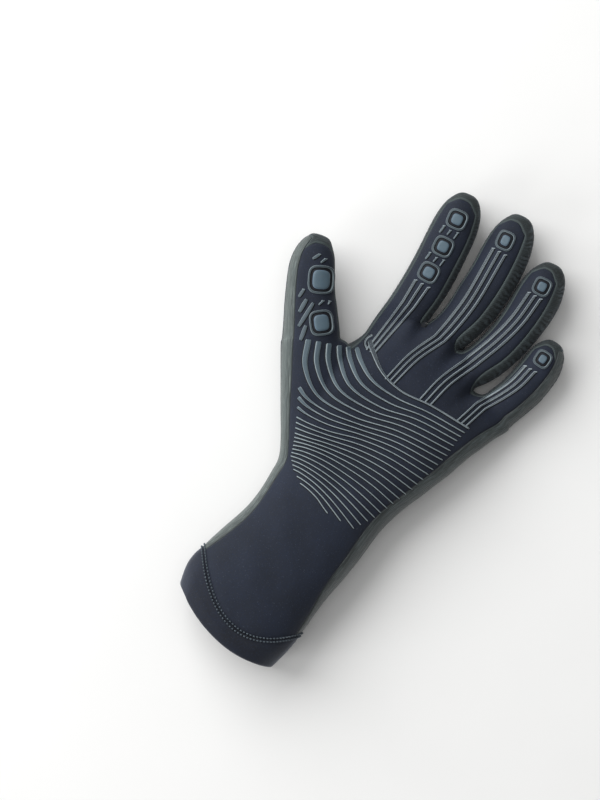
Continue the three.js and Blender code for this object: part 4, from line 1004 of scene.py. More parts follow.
def laminate(name, shade, base, light, knit, twill=0.0, sheen=0.3, rim=None, back_lines=False):
    """Nylon jersey laminated on foam rubber, knitted and brushed.

    The eye sees a matt cloth with a faint bloom at grazing angles, fine loops of about half a
    millimetre, lighter fibres strewn in it, and soft clouds where the foam has been pressed.
    Short creases on the finger walls are painted darker as shade, with painted highlights beside
    them, and the seams are painted lighter or darker as highlight or shade.
    """
    material, tree, shader, place = new_material(name)
    clouds = ramp(tree, noise(tree, place, 26, 3, 0.55), 0.36, 0.64)
    fibres = ramp(tree, noise(tree, place, 0.9, 4, 0.75), 0.5, 0.72)
    specks = ramp(tree, noise(tree, place, 0.6, 1, 0.4), 0.68, 0.74)
    colour = blended(tree, clouds, linear(shade), linear(base))
    colour = blended(tree, maths(tree, "MULTIPLY", fibres, 0.55), colour, linear(light))
    colour = blended(tree, maths(tree, "MULTIPLY", specks, 0.1), colour, linear("#8a93a6"))
    loops = add_node(tree, "ShaderNodeTexVoronoi", {"Vector": place, "Scale": 1 / knit,
                                                    "Randomness": 0.35}).outputs["Distance"]
    colour = blended(tree, ramp(tree, loops, 0.25, 0.75, 0, 0.35), colour, linear(shade))
    height = maths(tree, "MULTIPLY", loops, -0.5)
    if twill:
        turned = add_node(tree, "ShaderNodeMapping",
                          {"Vector": place, "Rotation": (0, 0, math.radians(38))})
        lines = add_node(tree, "ShaderNodeTexWave",
                         {"Vector": turned.outputs[0], "Scale": 1 / (twill * 3.18),
                          "Distortion": 0.6, "Detail": 1.0, "Detail Scale": 0.6},
                         wave_type="BANDS", bands_direction="X").outputs["Fac"]
        colour = blended(tree, ramp(tree, lines, 0.1, 0.6, 0.3, 0), colour, linear(shade))
        height = maths(tree, "MULTIPLY_ADD", lines, 0.6, height)
    seam = value_of(tree, "seam")
    # Along the seams the colour is painted: lightened towards the rim colour as a painted
    # highlight, or else darkened towards the darkest tone as painted shade in the seam's groove.
    if rim:
        colour = blended(tree, ramp(tree, seam, 0.05, 0.6, 0, 0.55), colour, linear(rim))
    else:
        colour = blended(tree, ramp(tree, seam, 0.3, 1, 0, 0.5), colour, linear(shade))
    if back_lines:
        off, run = value_of(tree, "line_off"), value_of(tree, "line_run")
        below = ramp(tree, add_node(tree, "ShaderNodeSeparateXYZ", {0: add_node(
            tree, "ShaderNodeNewGeometry").outputs["Normal"]}).outputs["Z"], -0.15, 0.05, 1, 0)
        within = maths(tree, "MULTIPLY", ramp(tree, run, 0, 1.5),
                       ramp(tree, run, BACK_LINE_LENGTH, BACK_LINE_LENGTH + 1.5, 1, 0))
        hatch = maths(tree, "PINGPONG", maths(tree, "ADD", run, off), 0.55)
        hatch = ramp(tree, hatch, 0.12, 0.3)
        total = None
        for middle, half, full in BACK_LINES:
            gap = maths(tree, "ABSOLUTE", maths(tree, "SUBTRACT", off, middle))
            line = ramp(tree, gap, half - 0.12, half + 0.12, 1, 0)
            line = line if full else maths(tree, "MULTIPLY", line, hatch)
            total = line if total is None else maths(tree, "MAXIMUM", total, line)
        drawn = maths(tree, "MULTIPLY", maths(tree, "MULTIPLY", total, within), below)
        colour = blended(tree, maths(tree, "MULTIPLY", drawn, 0.85), colour, linear("#6f8592"))
        height = maths(tree, "MULTIPLY_ADD", drawn, 0.8, height)
    wall, along = value_of(tree, "wall"), value_of(tree, "along")
    bent = maths(tree, "MULTIPLY_ADD", noise(tree, place, 5, 2, 0.5), 4.5, along)
    fold = maths(tree, "PINGPONG", bent, 1.45)
    gathered = maths(tree, "MULTIPLY", ramp(tree, wall, 0.12, 0.5),
                     ramp(tree, noise(tree, place, 6.5, 2, 0.5), 0.4, 0.52))
    # Creases on the finger walls: the grooves are painted dark as shade, the ridges beside them
    # pale as painted highlights, and the grooves also dent the bump.
    crease_and_shade = maths(tree, "MULTIPLY", ramp(tree, fold, 0.05, 0.55, 1, 0), gathered)
    ridge = maths(tree, "MULTIPLY", ramp(tree, fold, 0.5, 1.1), gathered)
    colour = blended(tree, maths(tree, "MULTIPLY", crease_and_shade, 0.8), colour, linear("#101413"))
    colour = blended(tree, maths(tree, "MULTIPLY", ridge, 0.55), colour, linear(light))
    height = maths(tree, "MULTIPLY_ADD", crease_and_shade, -2.6, height)
    height = maths(tree, "MULTIPLY_ADD", noise(tree, place, 5.5, 3, 0.5), 1.6, height)
    bump = add_node(tree, "ShaderNodeBump", {"Height": height, "Strength": 0.55,
                                             "Distance": 0.25 * MM})
    tree.links.new(colour, shader.inputs["Base Color"])
    tree.links.new(ramp(tree, fibres, 0, 1, 0.78, 0.92), shader.inputs["Roughness"])
    tree.links.new(bump.outputs[0], shader.inputs["Normal"])
    shader.inputs["IOR"].default_value = 1.53
    shader.inputs["Specular IOR Level"].default_value = 0.35
    shader.inputs["Sheen Weight"].default_value = sheen
    shader.inputs["Sheen Roughness"].default_value = 0.45
    shader.inputs["Sheen Tint"].default_value = linear("#c3cad6")
    return material


def coated_tape(name, first_step, dark, base, light):
    """Urethane-coated stretch tape, hot pressed over the side seam.

    The eye sees a soft gloss broken by long wrinkles, paler along the middle of the tape. The
    long wrinkles are painted darker in their hollows as shade and paler on their fine crests as
    highlights, and the seams are painted darker as shade.
    """
    material, tree, shader, place = new_material(name)
    grain = add_node(tree, "ShaderNodeUVMap", uv_map="grain").outputs[0]
    split = add_node(tree, "ShaderNodeSeparateXYZ", {0: grain})
    across = maths(tree, "MULTIPLY", maths(tree, "SUBTRACT", split.outputs["X"], first_step), 0.5)
    strip = add_node(tree, "ShaderNodeCombineXYZ", {
        "X": maths(tree, "MULTIPLY", across, 9.0),
        "Y": maths(tree, "MULTIPLY", split.outputs["Y"], 0.05)}).outputs[0]
    folds = noise(tree, strip, 1.0, 4, 0.6, 0.6)
    fine = noise(tree, strip, 0.4, 3, 0.6, 0.3)
    middle = ramp(tree, maths(tree, "ABSOLUTE", maths(tree, "SUBTRACT", across, 0.45)), 0.05, 0.5,
                  1, 0)
    # Painted shade in the hollows of the long folds.
    colour = blended(tree, ramp(tree, folds, 0.42, 0.58), linear(dark), linear(base))
    colour = blended(tree, maths(tree, "MULTIPLY", middle, 0.25), colour, linear(light))
    # Painted highlights on the fine crests.
    colour = blended(tree, ramp(tree, fine, 0.52, 0.64, 0, 0.7), colour, linear(light))
    # Painted shade in the seam's groove.
    colour = blended(tree, ramp(tree, value_of(tree, "seam"), 0.3, 1, 0, 0.6), colour,
                     linear("#252b2d"))
    height = maths(tree, "MULTIPLY_ADD", fine, 0.5, folds)
    height = maths(tree, "MULTIPLY_ADD", noise(tree, place, 0.5, 2, 0.5), 0.08, height)
    bump = add_node(tree, "ShaderNodeBump", {"Height": height, "Strength": 0.7,
                                             "Distance": 0.6 * MM})
    tree.links.new(colour, shader.inputs["Base Color"])
    tree.links.new(ramp(tree, fine, 0.3, 0.7, 0.42, 0.62), shader.inputs["Roughness"])
    tree.links.new(bump.outputs[0], shader.inputs["Normal"])
    shader.inputs["IOR"].default_value = 1.5
    shader.inputs["Sheen Weight"].default_value = 0.1
    return material


def printed_rubber(name, core, edge, gloss=0.42, hatch=0.0):
    """Silicone rubber, screen printed in several passes.

    The eye sees a satin line with fine grain from the screen. Its rounded edges are painted paler
    as highlights, and where it has a flat skirt beside it, the skirt is coloured near black as
    painted shadow. Hatch is the pitch of pale slanted ticks inside it, which begin some way along
    the line.
    """
    material, tree, shader, place = new_material(name)
    rim, run = value_of(tree, "rim"), value_of(tree, "along")
    worn = noise(tree, place, 2.6, 4, 0.65)
    # Edge colour near the rounded edges: painted highlights.
    side = ramp(tree, rim, 0.2, 0.36, 1, 0)
    colour = blended(tree, side, linear(core), linear(edge))
    colour = blended(tree, ramp(tree, worn, 0.5, 0.72, 0, 0.5), colour, linear("#59666d"))
    height = maths(tree, "MULTIPLY", noise(tree, place, 0.35, 2, 0.5), 0.25)
    if hatch:
        ticks = maths(tree, "PINGPONG", maths(tree, "ADD", run, rim), hatch / 2)
        ticks = ramp(tree, ticks, hatch * 0.16, hatch * 0.3, 1, 0)
        inside = maths(tree, "MULTIPLY", ticks, ramp(tree, rim, 0.16, 0.3))
        inside = maths(tree, "MULTIPLY", inside, ramp(tree, run, 24, 32))
        colour = blended(tree, maths(tree, "MULTIPLY", inside, 0.3), colour, linear(edge))
        height = maths(tree, "MULTIPLY_ADD", inside, 1.0, height)
    # Below zero the rim value lies on the flat skirt beside the print, coloured near black as
    # painted shadow.
    ground = ramp(tree, rim, -0.06, 0.02, 1, 0)
    colour = blended(tree, ground, colour, linear("#14171e"))
    bump = add_node(tree, "ShaderNodeBump", {"Height": height, "Strength": 0.5,
                                             "Distance": 0.15 * MM})
    tree.links.new(colour, shader.inputs["Base Color"])
    tree.links.new(maths(tree, "ADD", ramp(tree, worn, 0.3, 0.7, gloss, gloss + 0.16),
                         maths(tree, "MULTIPLY", ground, 0.3)), shader.inputs["Roughness"])
    tree.links.new(bump.outputs[0], shader.inputs["Normal"])
    shader.inputs["IOR"].default_value = 1.41
    return material


def sewing_thread(name):
    """Bonded polyester thread, twisted from three plies, nearly black with a dull gloss."""
    material, tree, shader, place = new_material(name)
    across, run = value_of(tree, "across"), value_of(tree, "along")
    ply_twist_and_highlight = maths(tree, "SINE", maths(tree, "MULTIPLY_ADD", run, 9.0,
                                    maths(tree, "MULTIPLY", across, 6.2832)))
    # The crowns of the plies are painted pale as highlights.
    colour = blended(tree, ramp(tree, ply_twist_and_highlight, -0.6, 0.8), linear("#12171c"), linear("#5f6d78"))
    colour = blended(tree, ramp(tree, noise(tree, place, 1.5, 2), 0.55, 0.8, 0, 0.4), colour,
                     linear("#78848e"))
    bump = add_node(tree, "ShaderNodeBump", {"Height": ply_twist_and_highlight, "Strength": 0.6,
                                             "Distance": 0.06 * MM})
    tree.links.new(colour, shader.inputs["Base Color"])
    tree.links.new(ramp(tree, ply_twist_and_highlight, -1, 1, 0.5, 0.65), shader.inputs["Roughness"])
    tree.links.new(bump.outputs[0], shader.inputs["Normal"])
    shader.inputs["IOR"].default_value = 1.57
    return material


def plush_lining(name):
    """Brushed polyester fleece, glued to the foam's inner side: near black with pale pile."""
    material, tree, shader, place = new_material(name)
    pile = noise(tree, place, 0.7, 5, 0.7)
    rows = add_node(tree, "ShaderNodeTexVoronoi", {"Vector": place, "Scale": 1 / 2.4,
                                                   "Randomness": 0.5}).outputs["Distance"]
    colour = blended(tree, ramp(tree, pile, 0.4, 0.7), linear("#14171d"), linear("#2a2f38"))
    colour = blended(tree, ramp(tree, rows, 0.2, 0.7, 0, 0.5), colour, linear("#0e1116"))
    height = maths(tree, "MULTIPLY_ADD", pile, 0.6, maths(tree, "MULTIPLY", rows, -0.6))
    bump = add_node(tree, "ShaderNodeBump", {"Height": height, "Strength": 0.7,
                                             "Distance": 0.4 * MM})
    tree.links.new(colour, shader.inputs["Base Color"])
    tree.links.new(bump.outputs[0], shader.inputs["Normal"])
    shader.inputs["Roughness"].default_value = 0.95
    shader.inputs["Sheen Weight"].default_value = 0.4
    return material


class GloveSettings(bpy.types.PropertyGroup):
    """Sizes of the glove's make."""

    wall: FloatProperty(
        name="Panel thickness", description="Foam rubber with its cloth on both sides",
        default=2.8 * MM, min=1 * MM, max=6 * MM, subtype="DISTANCE", unit="LENGTH")
    hem_wall: FloatProperty(
        name="Hem thickness", description="Folded edge of the cuff",
        default=3.6 * MM, min=1 * MM, max=8 * MM, subtype="DISTANCE", unit="LENGTH")
    seam_depth: FloatProperty(
        name="Seam depth", description="How far the cloth is drawn in along a seam",
        default=0.45 * MM, min=0, max=1.5 * MM, subtype="DISTANCE", unit="LENGTH")
    smoothing: IntProperty(
        name="Smoothing rounds", description="Rounds of subdivision of the skin's net",
        default=3, min=1, max=4)
    rib_height: FloatProperty(
        name="Rib height", description="How far the printed ribs stand above the cloth",
        default=0.85 * MM, min=0.1 * MM, max=3 * MM, subtype="DISTANCE", unit="LENGTH")
    rib_width: FloatProperty(
        name="Rib width", description="Width of a palm rib next to the thumb",
        default=1.9 * MM, min=0.5 * MM, max=5 * MM, subtype="DISTANCE", unit="LENGTH")
    stripe_width: FloatProperty(
        name="Stripe width", description="Width of each line on the fingers",
        default=1.4 * MM, min=0.4 * MM, max=4 * MM, subtype="DISTANCE", unit="LENGTH")
    stripe_pitch: FloatProperty(
        name="Stripe pitch", description="Distance between the three lines of a finger",
        default=4 * MM, min=1 * MM, max=8 * MM, subtype="DISTANCE", unit="LENGTH")
    pad_height: FloatProperty(
        name="Pad height", description="How far a grip pad stands above the cloth",
        default=1.25 * MM, min=0.2 * MM, max=4 * MM, subtype="DISTANCE", unit="LENGTH")
    pad_groove: FloatProperty(
        name="Pad groove", description="Bare cloth between a pad and the ring round it",
        default=1.6 * MM, min=0.4 * MM, max=4 * MM, subtype="DISTANCE", unit="LENGTH")
    stitch_pitch: FloatProperty(
        name="Stitch length", description="Length of one stitch and its gap",
        default=2.1 * MM, min=1 * MM, max=6 * MM, subtype="DISTANCE", unit="LENGTH")
    thread: FloatProperty(
        name="Thread thickness", description="Thickness of the hem's thread",
        default=0.95 * MM, min=0.2 * MM, max=1.5 * MM, subtype="DISTANCE", unit="LENGTH")


class StudioSettings(bpy.types.PropertyGroup):
    """Camera, lights and floor."""

    lens: FloatProperty(
        name="Focal length", description="Long lens, so that the fingers keep their sizes",
        default=200, min=20, max=400, subtype="DISTANCE_CAMERA", unit="CAMERA")
    frame_height: FloatProperty(
        name="Frame height", description="Height of the floor area that the picture shows",
        default=480 * MM, min=0.1, max=2, subtype="DISTANCE", unit="LENGTH")
    look_at: FloatVectorProperty(
        name="Picture centre", description="Place in the middle of the picture",
        default=(-49.4 * MM, -0.8 * MM, 16 * MM), size=3, subtype="XYZ", unit="LENGTH")
    turn: FloatProperty(
        name="Turn", description="Turn of the camera about the vertical",
        default=math.radians(30), subtype="ANGLE", unit="ROTATION")
    key_power: FloatProperty(
        name="Key light", description="Power of the large soft light", default=46, min=0,
        subtype="POWER", unit="POWER")
    floor_colour: FloatVectorProperty(
        name="Floor", description="Colour of the plain floor", default=linear("#f4f4f3")[:3],
        size=3, min=0, max=1, subtype="COLOR")


class GLOVE_OT_panels(bpy.types.Operator):
    """Makes the nine foam-rubber panels and gives each its wall"""

    bl_idname = "glove.panels"
    bl_label = "Panels"

    def execute(self, context):
        settings = context.scene.glove
        skin = glove_skin(*skin_key())
        lining = plush_lining("brushed_fleece_lining")
        navy = laminate("navy_jersey_laminate", "#121926", "#182030", "#253047", 0.55,
                        sheen=0.09)
        # The rim colour of both grey cloths paints a highlight along their seams.
        grey = laminate("grey_green_jersey_laminate", "#202626", "#363e40", "#4f595e", 0.6,
                        twill=1.15, sheen=0.18, rim="#566162", back_lines=True)
        plain_grey = laminate("finger_back_jersey_laminate", "#202626", "#363e40", "#4f595e",
                              0.6, twill=1.15, sheen=0.18, rim="#566162")
        slate = laminate("slate_jersey_laminate", "#1c2126", "#2b3339", "#3e474e", 0.6,
                         twill=0.9, sheen=0.16)
        night = laminate("night_blue_jersey_laminate", "#0b0f15", "#141a24", "#263140", 0.55,
                         sheen=0.2)
        hem_cloth = laminate("hem_jersey_laminate", "#0e131e", "#151c2c", "#26324a", 0.55,
                             sheen=0.4)
        looks = {
            "palm_panel": (navy, "navy_cloth"), "hand_back": (grey, "grey_cloth"),
            "middle_finger_back": (plain_grey, "grey_cloth"),
            "ring_finger_back": (plain_grey, "grey_cloth"),
            "knuckle_band": (slate, "band_cloth"), "cuff_back": (night, "dark_navy_cloth"),
            # The little finger's tape gets darker colours than the thumb's: painted shade on the
            # side away from the key light.
            "side_strip_thumb": (coated_tape("coated_tape_thumb", HAND_STEPS - 2,
                                             "#283030", "#3d4747", "#707a78"), "strip_cloth"),
            "side_strip_little": (coated_tape("coated_tape_little", PALM_STEPS,
                                              "#1e2425", "#353d3e", "#566061"), "strip_cloth"),
            "hem": (hem_cloth, "navy_cloth"),
        }
        line = smooth_curve(BACK_LINE, 60)
        one_cloth = {"hand_back": ["index_finger_back", "little_finger_back", "thumb_back"]}
        for name, (cloth, slot) in looks.items():
            wall = (settings.hem_wall if name == "hem" else settings.wall) / MM
            places, faces, corners, kinds, values = panel_surface(skin, name, wall)
            if name == "hand_back":
                values["line_off"], values["line_run"] = curve_distance(places[:, :2], line)
            solids = [name, *one_cloth.get(name, [])]
            piece = make_piece(f"{name}_cloth", places, faces, [cloth, lining], solids,
                               kinds, values, corners)
        return {"FINISHED"}


# Cross-section of a printed line: across from -1 to 1, millimetres beyond that, and up in
# line heights. Its feet lie below the cloth, its top dips slightly between rounded edges, and
# on one side a thin flat skirt lies beside it, coloured near black as the line's painted shadow.
LINE_PROFILE = np.array([
    (-1, 0, -0.35), (-1, 0, 0.3), (-0.86, 0, 0.74), (-0.62, 0, 0.98), (-0.25, 0, 0.92),
    (0.25, 0, 0.92), (0.62, 0, 0.98), (0.86, 0, 0.74), (1, 0, 0.1), (1, 0.7, 0.07),
    (1, 0.75, -0.35)])


def printed_lines(key, lines):
    """Tubes of the line profile carried along plan paths and laid on the skin.

    Each line is (path, widths, height); its first and last section are drawn in and down.
    """
    places, quads, caps, rims, along, start = [], [], [], [], [], 0
    for path, widths, height in lines:
        run = unit(np.gradient(path, axis=0))
        side = np.stack([run[:, 1], -run[:, 0]], axis=1)
        walked = np.concatenate([[0], np.cumsum(np.linalg.norm(np.diff(path, axis=0), axis=1))])
        end = np.minimum(walked, walked[-1] - walked)
        shape = np.clip(0.55 + end / 0.5, 0, 1) ** 0.5
        half = (widths / 2 * shape)[:, None]
        spread = half * LINE_PROFILE[None, :, 0] + LINE_PROFILE[None, :, 1] * shape[:, None]
        plan = path[:, None] + side[:, None] * spread[..., None]
        rise = np.where(LINE_PROFILE[:, 2] > 0, LINE_PROFILE[:, 2] * shape[:, None],
                        LINE_PROFILE[:, 2]) * height
        places.append(laid_on_skin(key, plan, rise).reshape(-1, 3))
        more, ends = tube_faces(len(path), len(LINE_PROFILE))
        quads.append(more + start)
        caps.append(ends + start)
        start += len(path) * len(LINE_PROFILE)
        rims.append(((1 - np.abs(LINE_PROFILE[:, 0])) * half - LINE_PROFILE[:, 1]).ravel())
        along.append(np.repeat(walked, len(LINE_PROFILE)))
    return (np.concatenate(places), [np.concatenate(quads), np.concatenate(caps)],
            {"rim": np.concatenate(rims), "along": np.concatenate(along)})


def thinned(path, wide, thin, reach):
    """Widths along a path that go from wide at its start to thin, as a bell curve does."""
    walked = np.concatenate([[0], np.cumsum(np.linalg.norm(np.diff(path, axis=0), axis=1))])
    return thin + (wide - thin) * np.exp(-(walked / reach) ** 2)


class GLOVE_OT_palm_ribs(bpy.types.Operator):
    """Prints the fan of grip ribs over the palm"""

    bl_idname = "glove.palm_ribs"
    bl_label = "Palm ribs"

    def execute(self, context):
        settings = context.scene.glove
        width, height = settings.rib_width / MM, settings.rib_height / MM
        numbers = np.arange(1, KEY_RIBS[-1].number + 1)
        keys = np.array([key.number for key in KEY_RIBS])
        starts = np.array(RIB_STARTS).T
        lines = []
        for number in numbers:
            after = max(1, int(np.searchsorted(keys, number)))
            a, b = KEY_RIBS[after - 1], KEY_RIBS[after]
            share = (number - a.number) / (b.number - a.number)
            across = mix(np.array(a.across), np.array(b.across), share) * PALM_WIDTH
            along = mix(np.array(a.along), np.array(b.along), share) * PALM_LENGTH
            path = smooth_curve(np.stack([across, along], axis=1), RIB_STATIONS)
            wide, reach = (np.interp(number, starts[0], row) for row in starts[1:])
            thin = mix(a.narrow, b.narrow, share) * width
            lines.append((path, thinned(path, wide * width, thin, reach), height))
        places, faces, values = printed_lines(skin_key(), lines)
        # Core colour, then the paler edge colour painted as highlights on the ribs' rounded edges.
        print_ink = printed_rubber("silicone_print_ribs", "#4b5a63", "#8c989c")
        make_piece("palm_ribs", places, faces, [print_ink],
                   [f"palm_rib_{number}" for number in numbers], values=values)
        return {"FINISHED"}


class GLOVE_OT_finger_stripes(bpy.types.Operator):
    """Prints the rib under the fingers and the three lines on each of them"""

    bl_idname = "glove.finger_stripes"
    bl_label = "Finger stripes"

    def execute(self, context):
        settings = context.scene.glove
        height, pitch = settings.rib_height / MM, settings.stripe_pitch / MM
        branches = glove_skin(*skin_key()).branches
        scale = np.array([PALM_WIDTH, PALM_LENGTH])
        border = smooth_curve(np.array(BORDER_RIB) * scale, RIB_STATIONS)
        width = settings.stripe_width / MM
        lines = [(border, thinned(border, *BORDER_WIDTHS), height),
                 (smooth_curve(HOOK, HOOK_STATIONS), np.full(HOOK_STATIONS, 1.0), height)]
        for stripe in STRIPES:
            finger = branches[stripe.finger]
            places = np.array([*(on_branch(finger, *at) for at in stripe.on),
                               *(np.array(at) * scale for at in stripe.below)])
            spread = np.linspace(*stripe.pitch, len(places)) * pitch
            bend = len(stripe.on) - (1 if stripe.finger == "index" else 0)
            for side in (-1, 0, 1):
                moved = places + np.stack([side * spread, np.zeros(len(places))], axis=1)
                path = np.concatenate([smooth_curve(moved[:bend + 1], 76)[:-1],
                                       smooth_curve(moved[bend:], 75)])[::-1]
                widths = thinned(path, STRIPE_FOOT * width, width, STRIPE_FOOT_REACH)
                lines.append((path, widths, height * 0.95))
                # A short tick closes the stripe at its top.
                lines.append((mix(path[-1:] + (-0.7, -0.5), path[-1:] + (1.1, 0.5),
                                  np.linspace(0, 1, 12)[:, None]), np.full(12, 0.7), height))
        places, faces, values = printed_lines(skin_key(), lines)
        # The rib under the fingers and the hook carry no ticks.
        values["along"][:(RIB_STATIONS + HOOK_STATIONS) * len(LINE_PROFILE)] = 0
        # Core colour, then the paler edge colour painted as highlights on the stripes' rounded
        # edges.
        ink = printed_rubber("silicone_print_stripes", "#29323a", "#939ea3", hatch=1.1)
        make_piece("finger_stripes", places, faces, [ink], ["finger_ribs"],
                   values=values)
        return {"FINISHED"}


class GLOVE_OT_dashes(bpy.types.Operator):
    """Prints the slanted ribs of the thumb and the short dashes between the pads"""

    bl_idname = "glove.dashes"
    bl_label = "Dashes"

    def execute(self, context):
        height = context.scene.glove.rib_height / MM
        branches = glove_skin(*skin_key()).branches
        for name, dashes, steps, replaced in (
                ("thumb_ribs", THUMB_RIBS, 40, ["thumb_rib_1", "thumb_rib_2", "thumb_rib_3"]),
                ("pad_dashes", DASHES, 16, [])):
            lines = []
            for dash in dashes:
                branch = branches[dash.branch]
                ends = np.array([on_branch(branch, *dash.start), on_branch(branch, *dash.end)])
                path = mix(ends[1:], ends[:1], np.linspace(0, 1, steps)[:, None])
                blade = np.sin(np.pi * np.linspace(0.18, 0.8, steps)) ** 0.6
                lines.append((path, dash.width * blade, height))
                # A fine tick crosses the upper end of each short dash.
                if not replaced:
                    lines.append((path[-1] + np.linspace(-0.9, 0.7, 10)[:, None]
                                  * np.array([1, 0.35]), np.full(10, 0.6), height))
            places, faces, values = printed_lines(skin_key(), lines)
            # Core colour, then the paler edge colour painted as highlights on the dashes' rounded
            # edges.
            ink = printed_rubber(f"silicone_print_{name}", "#46535b", "#7c888d")
            make_piece(name, places, faces, [ink], replaced, values=values)
        return {"FINISHED"}


def pad_loop(branch, pad, grow, inset=1.0, count=64):
    """Plan places round a pad: a rounded square, grown outwards or shrunk to its middle."""
    at = branch_frame(branch, pad.at[0])
    centre = on_branch(branch, *pad.at)
    angle = 2 * np.pi * (np.arange(count) + 0.5) / count
    half = np.array(pad.size) / 2 * inset + grow
    u = half[0] * signed_power(np.cos(angle), 2 / PAD_ROUNDNESS)
    v = half[1] * signed_power(np.sin(angle), 2 / PAD_ROUNDNESS)
    return centre + np.stack([u * at.side[0] - v * at.side[1], u * at.side[1] + v * at.side[0]],
                             axis=1)


class GLOVE_OT_pads(bpy.types.Operator):
    """Prints the grip pads and the rings round them"""

    bl_idname = "glove.pads"
    bl_label = "Grip pads"

    def execute(self, context):
        settings = context.scene.glove
        height, groove = settings.pad_height / MM, settings.pad_groove / MM
        branches = glove_skin(*skin_key()).branches
        # Share of the pad's size, millimetres beyond it, and share of its height, from the
        # middle of the top outwards, over a flat skirt across the groove, coloured near black as
        # painted shade, and back underneath.
        dome = [(0.02, 0, 0.94), (0.35, 0, 0.96), (0.62, 0, 1), (0.8, 0, 0.99), (0.91, 0, 0.88),
                (0.98, 0, 0.62), (1, 0, 0.12), (1, 0.8, 0.05), (1, 1.75, 0.05), (1, 1.75, -0.3),
                (0.6, 0, -0.3), (0.02, 0, -0.3)]
        # Distance from the groove's outer edge in millimetres, and share of the ring's height.
        ridge = [(0, -0.35), (0.02, 0.4), (0.16, 0.85), (0.4, 1), (0.86, 1), (1.1, 0.8),
                 (1.24, 0.35), (1.25, -0.35)]
        count = 64
        pads, rings, pad_side, ring_side = [], [], [], []
        for pad in PADS:
            branch = branches[pad.branch]
            plan = np.stack([pad_loop(branch, pad, out, inset) for inset, out, _ in dome])
            rise = np.array([up for *_, up in dome])[:, None] * np.full(count, height)
            pads.append(laid_on_skin(skin_key(), plan, rise))
            pad_side.append(np.repeat([(1 - inset) * min(pad.size) / 2 - out
                                       for inset, out, _ in dome], count))
            plan = np.stack([pad_loop(branch, pad, groove + out) for out, _ in ridge], axis=1)
            rise = np.broadcast_to(np.array([up for _, up in ridge]) * height * 0.8,
                                   plan.shape[:2])
            rings.append(laid_on_skin(skin_key(), plan, rise))
            ring_side.append(np.tile([min(out, ridge[-1][0] - out) for out, _ in ridge], count))
        faces, caps = tube_faces(len(dome), count, len(PADS))
        # Pad colour, then the paler edge colour painted as highlights on the pads' rounded edges.
        pad_ink = printed_rubber("silicone_print_pads", "#50636f", "#66798a", gloss=0.36)
        make_piece("grip_pads", np.array(pads), [faces[:, ::-1], caps[:, ::-1]], [pad_ink],
                   [pad.name for pad in PADS],
                   values={"rim": np.array(pad_side),
                           "along": np.zeros(len(PADS) * count * len(dome))})
        section = len(ridge)
        s, r = np.meshgrid(np.arange(count), np.arange(section), indexing="ij")
        quads = np.stack([s * section + r, s * section + (r + 1) % section,
                          (s + 1) % count * section + (r + 1) % section,
                          (s + 1) % count * section + r], axis=-1).reshape(-1, 4)
        shift = (np.arange(len(PADS)) * count * section)[:, None, None]
        # Ring colour, then the paler edge colour painted as highlights on the rings' rounded edges.
        ring_ink = printed_rubber("silicone_print_rings", "#39444b", "#778388")
        make_piece("pad_rings", np.array(rings), [(quads[None] + shift).reshape(-1, 4)],
                   [ring_ink], [f"{pad.name}_ring" for pad in PADS],
                   values={"rim": np.array(ring_side),
                           "along": np.zeros(len(PADS) * count * section)})
        return {"FINISHED"}


def cuff_surface(skin, row, step):
    """Place on the cuff's smooth surface: cubic blends of the net in both directions."""
    grid = hand_patch(skin.net, skin.rows)

    def weights(t):
        return np.stack([(1 - t) ** 3, 3 * t ** 3 - 6 * t ** 2 + 4,
                         -3 * t ** 3 + 3 * t ** 2 + 3 * t + 1, t ** 3], axis=-1) / 6

    i, j = np.floor(row).astype(int), np.floor(step).astype(int)
    rows, columns = weights(row - i), weights(step - j)
    place = np.zeros((*row.shape, 3))
    for a in range(4):
        for b in range(4):
            share = (rows[..., a] * columns[..., b])[..., None]
            place += share * grid[i + a, (j + b - 1) % HAND_STEPS]
    return place


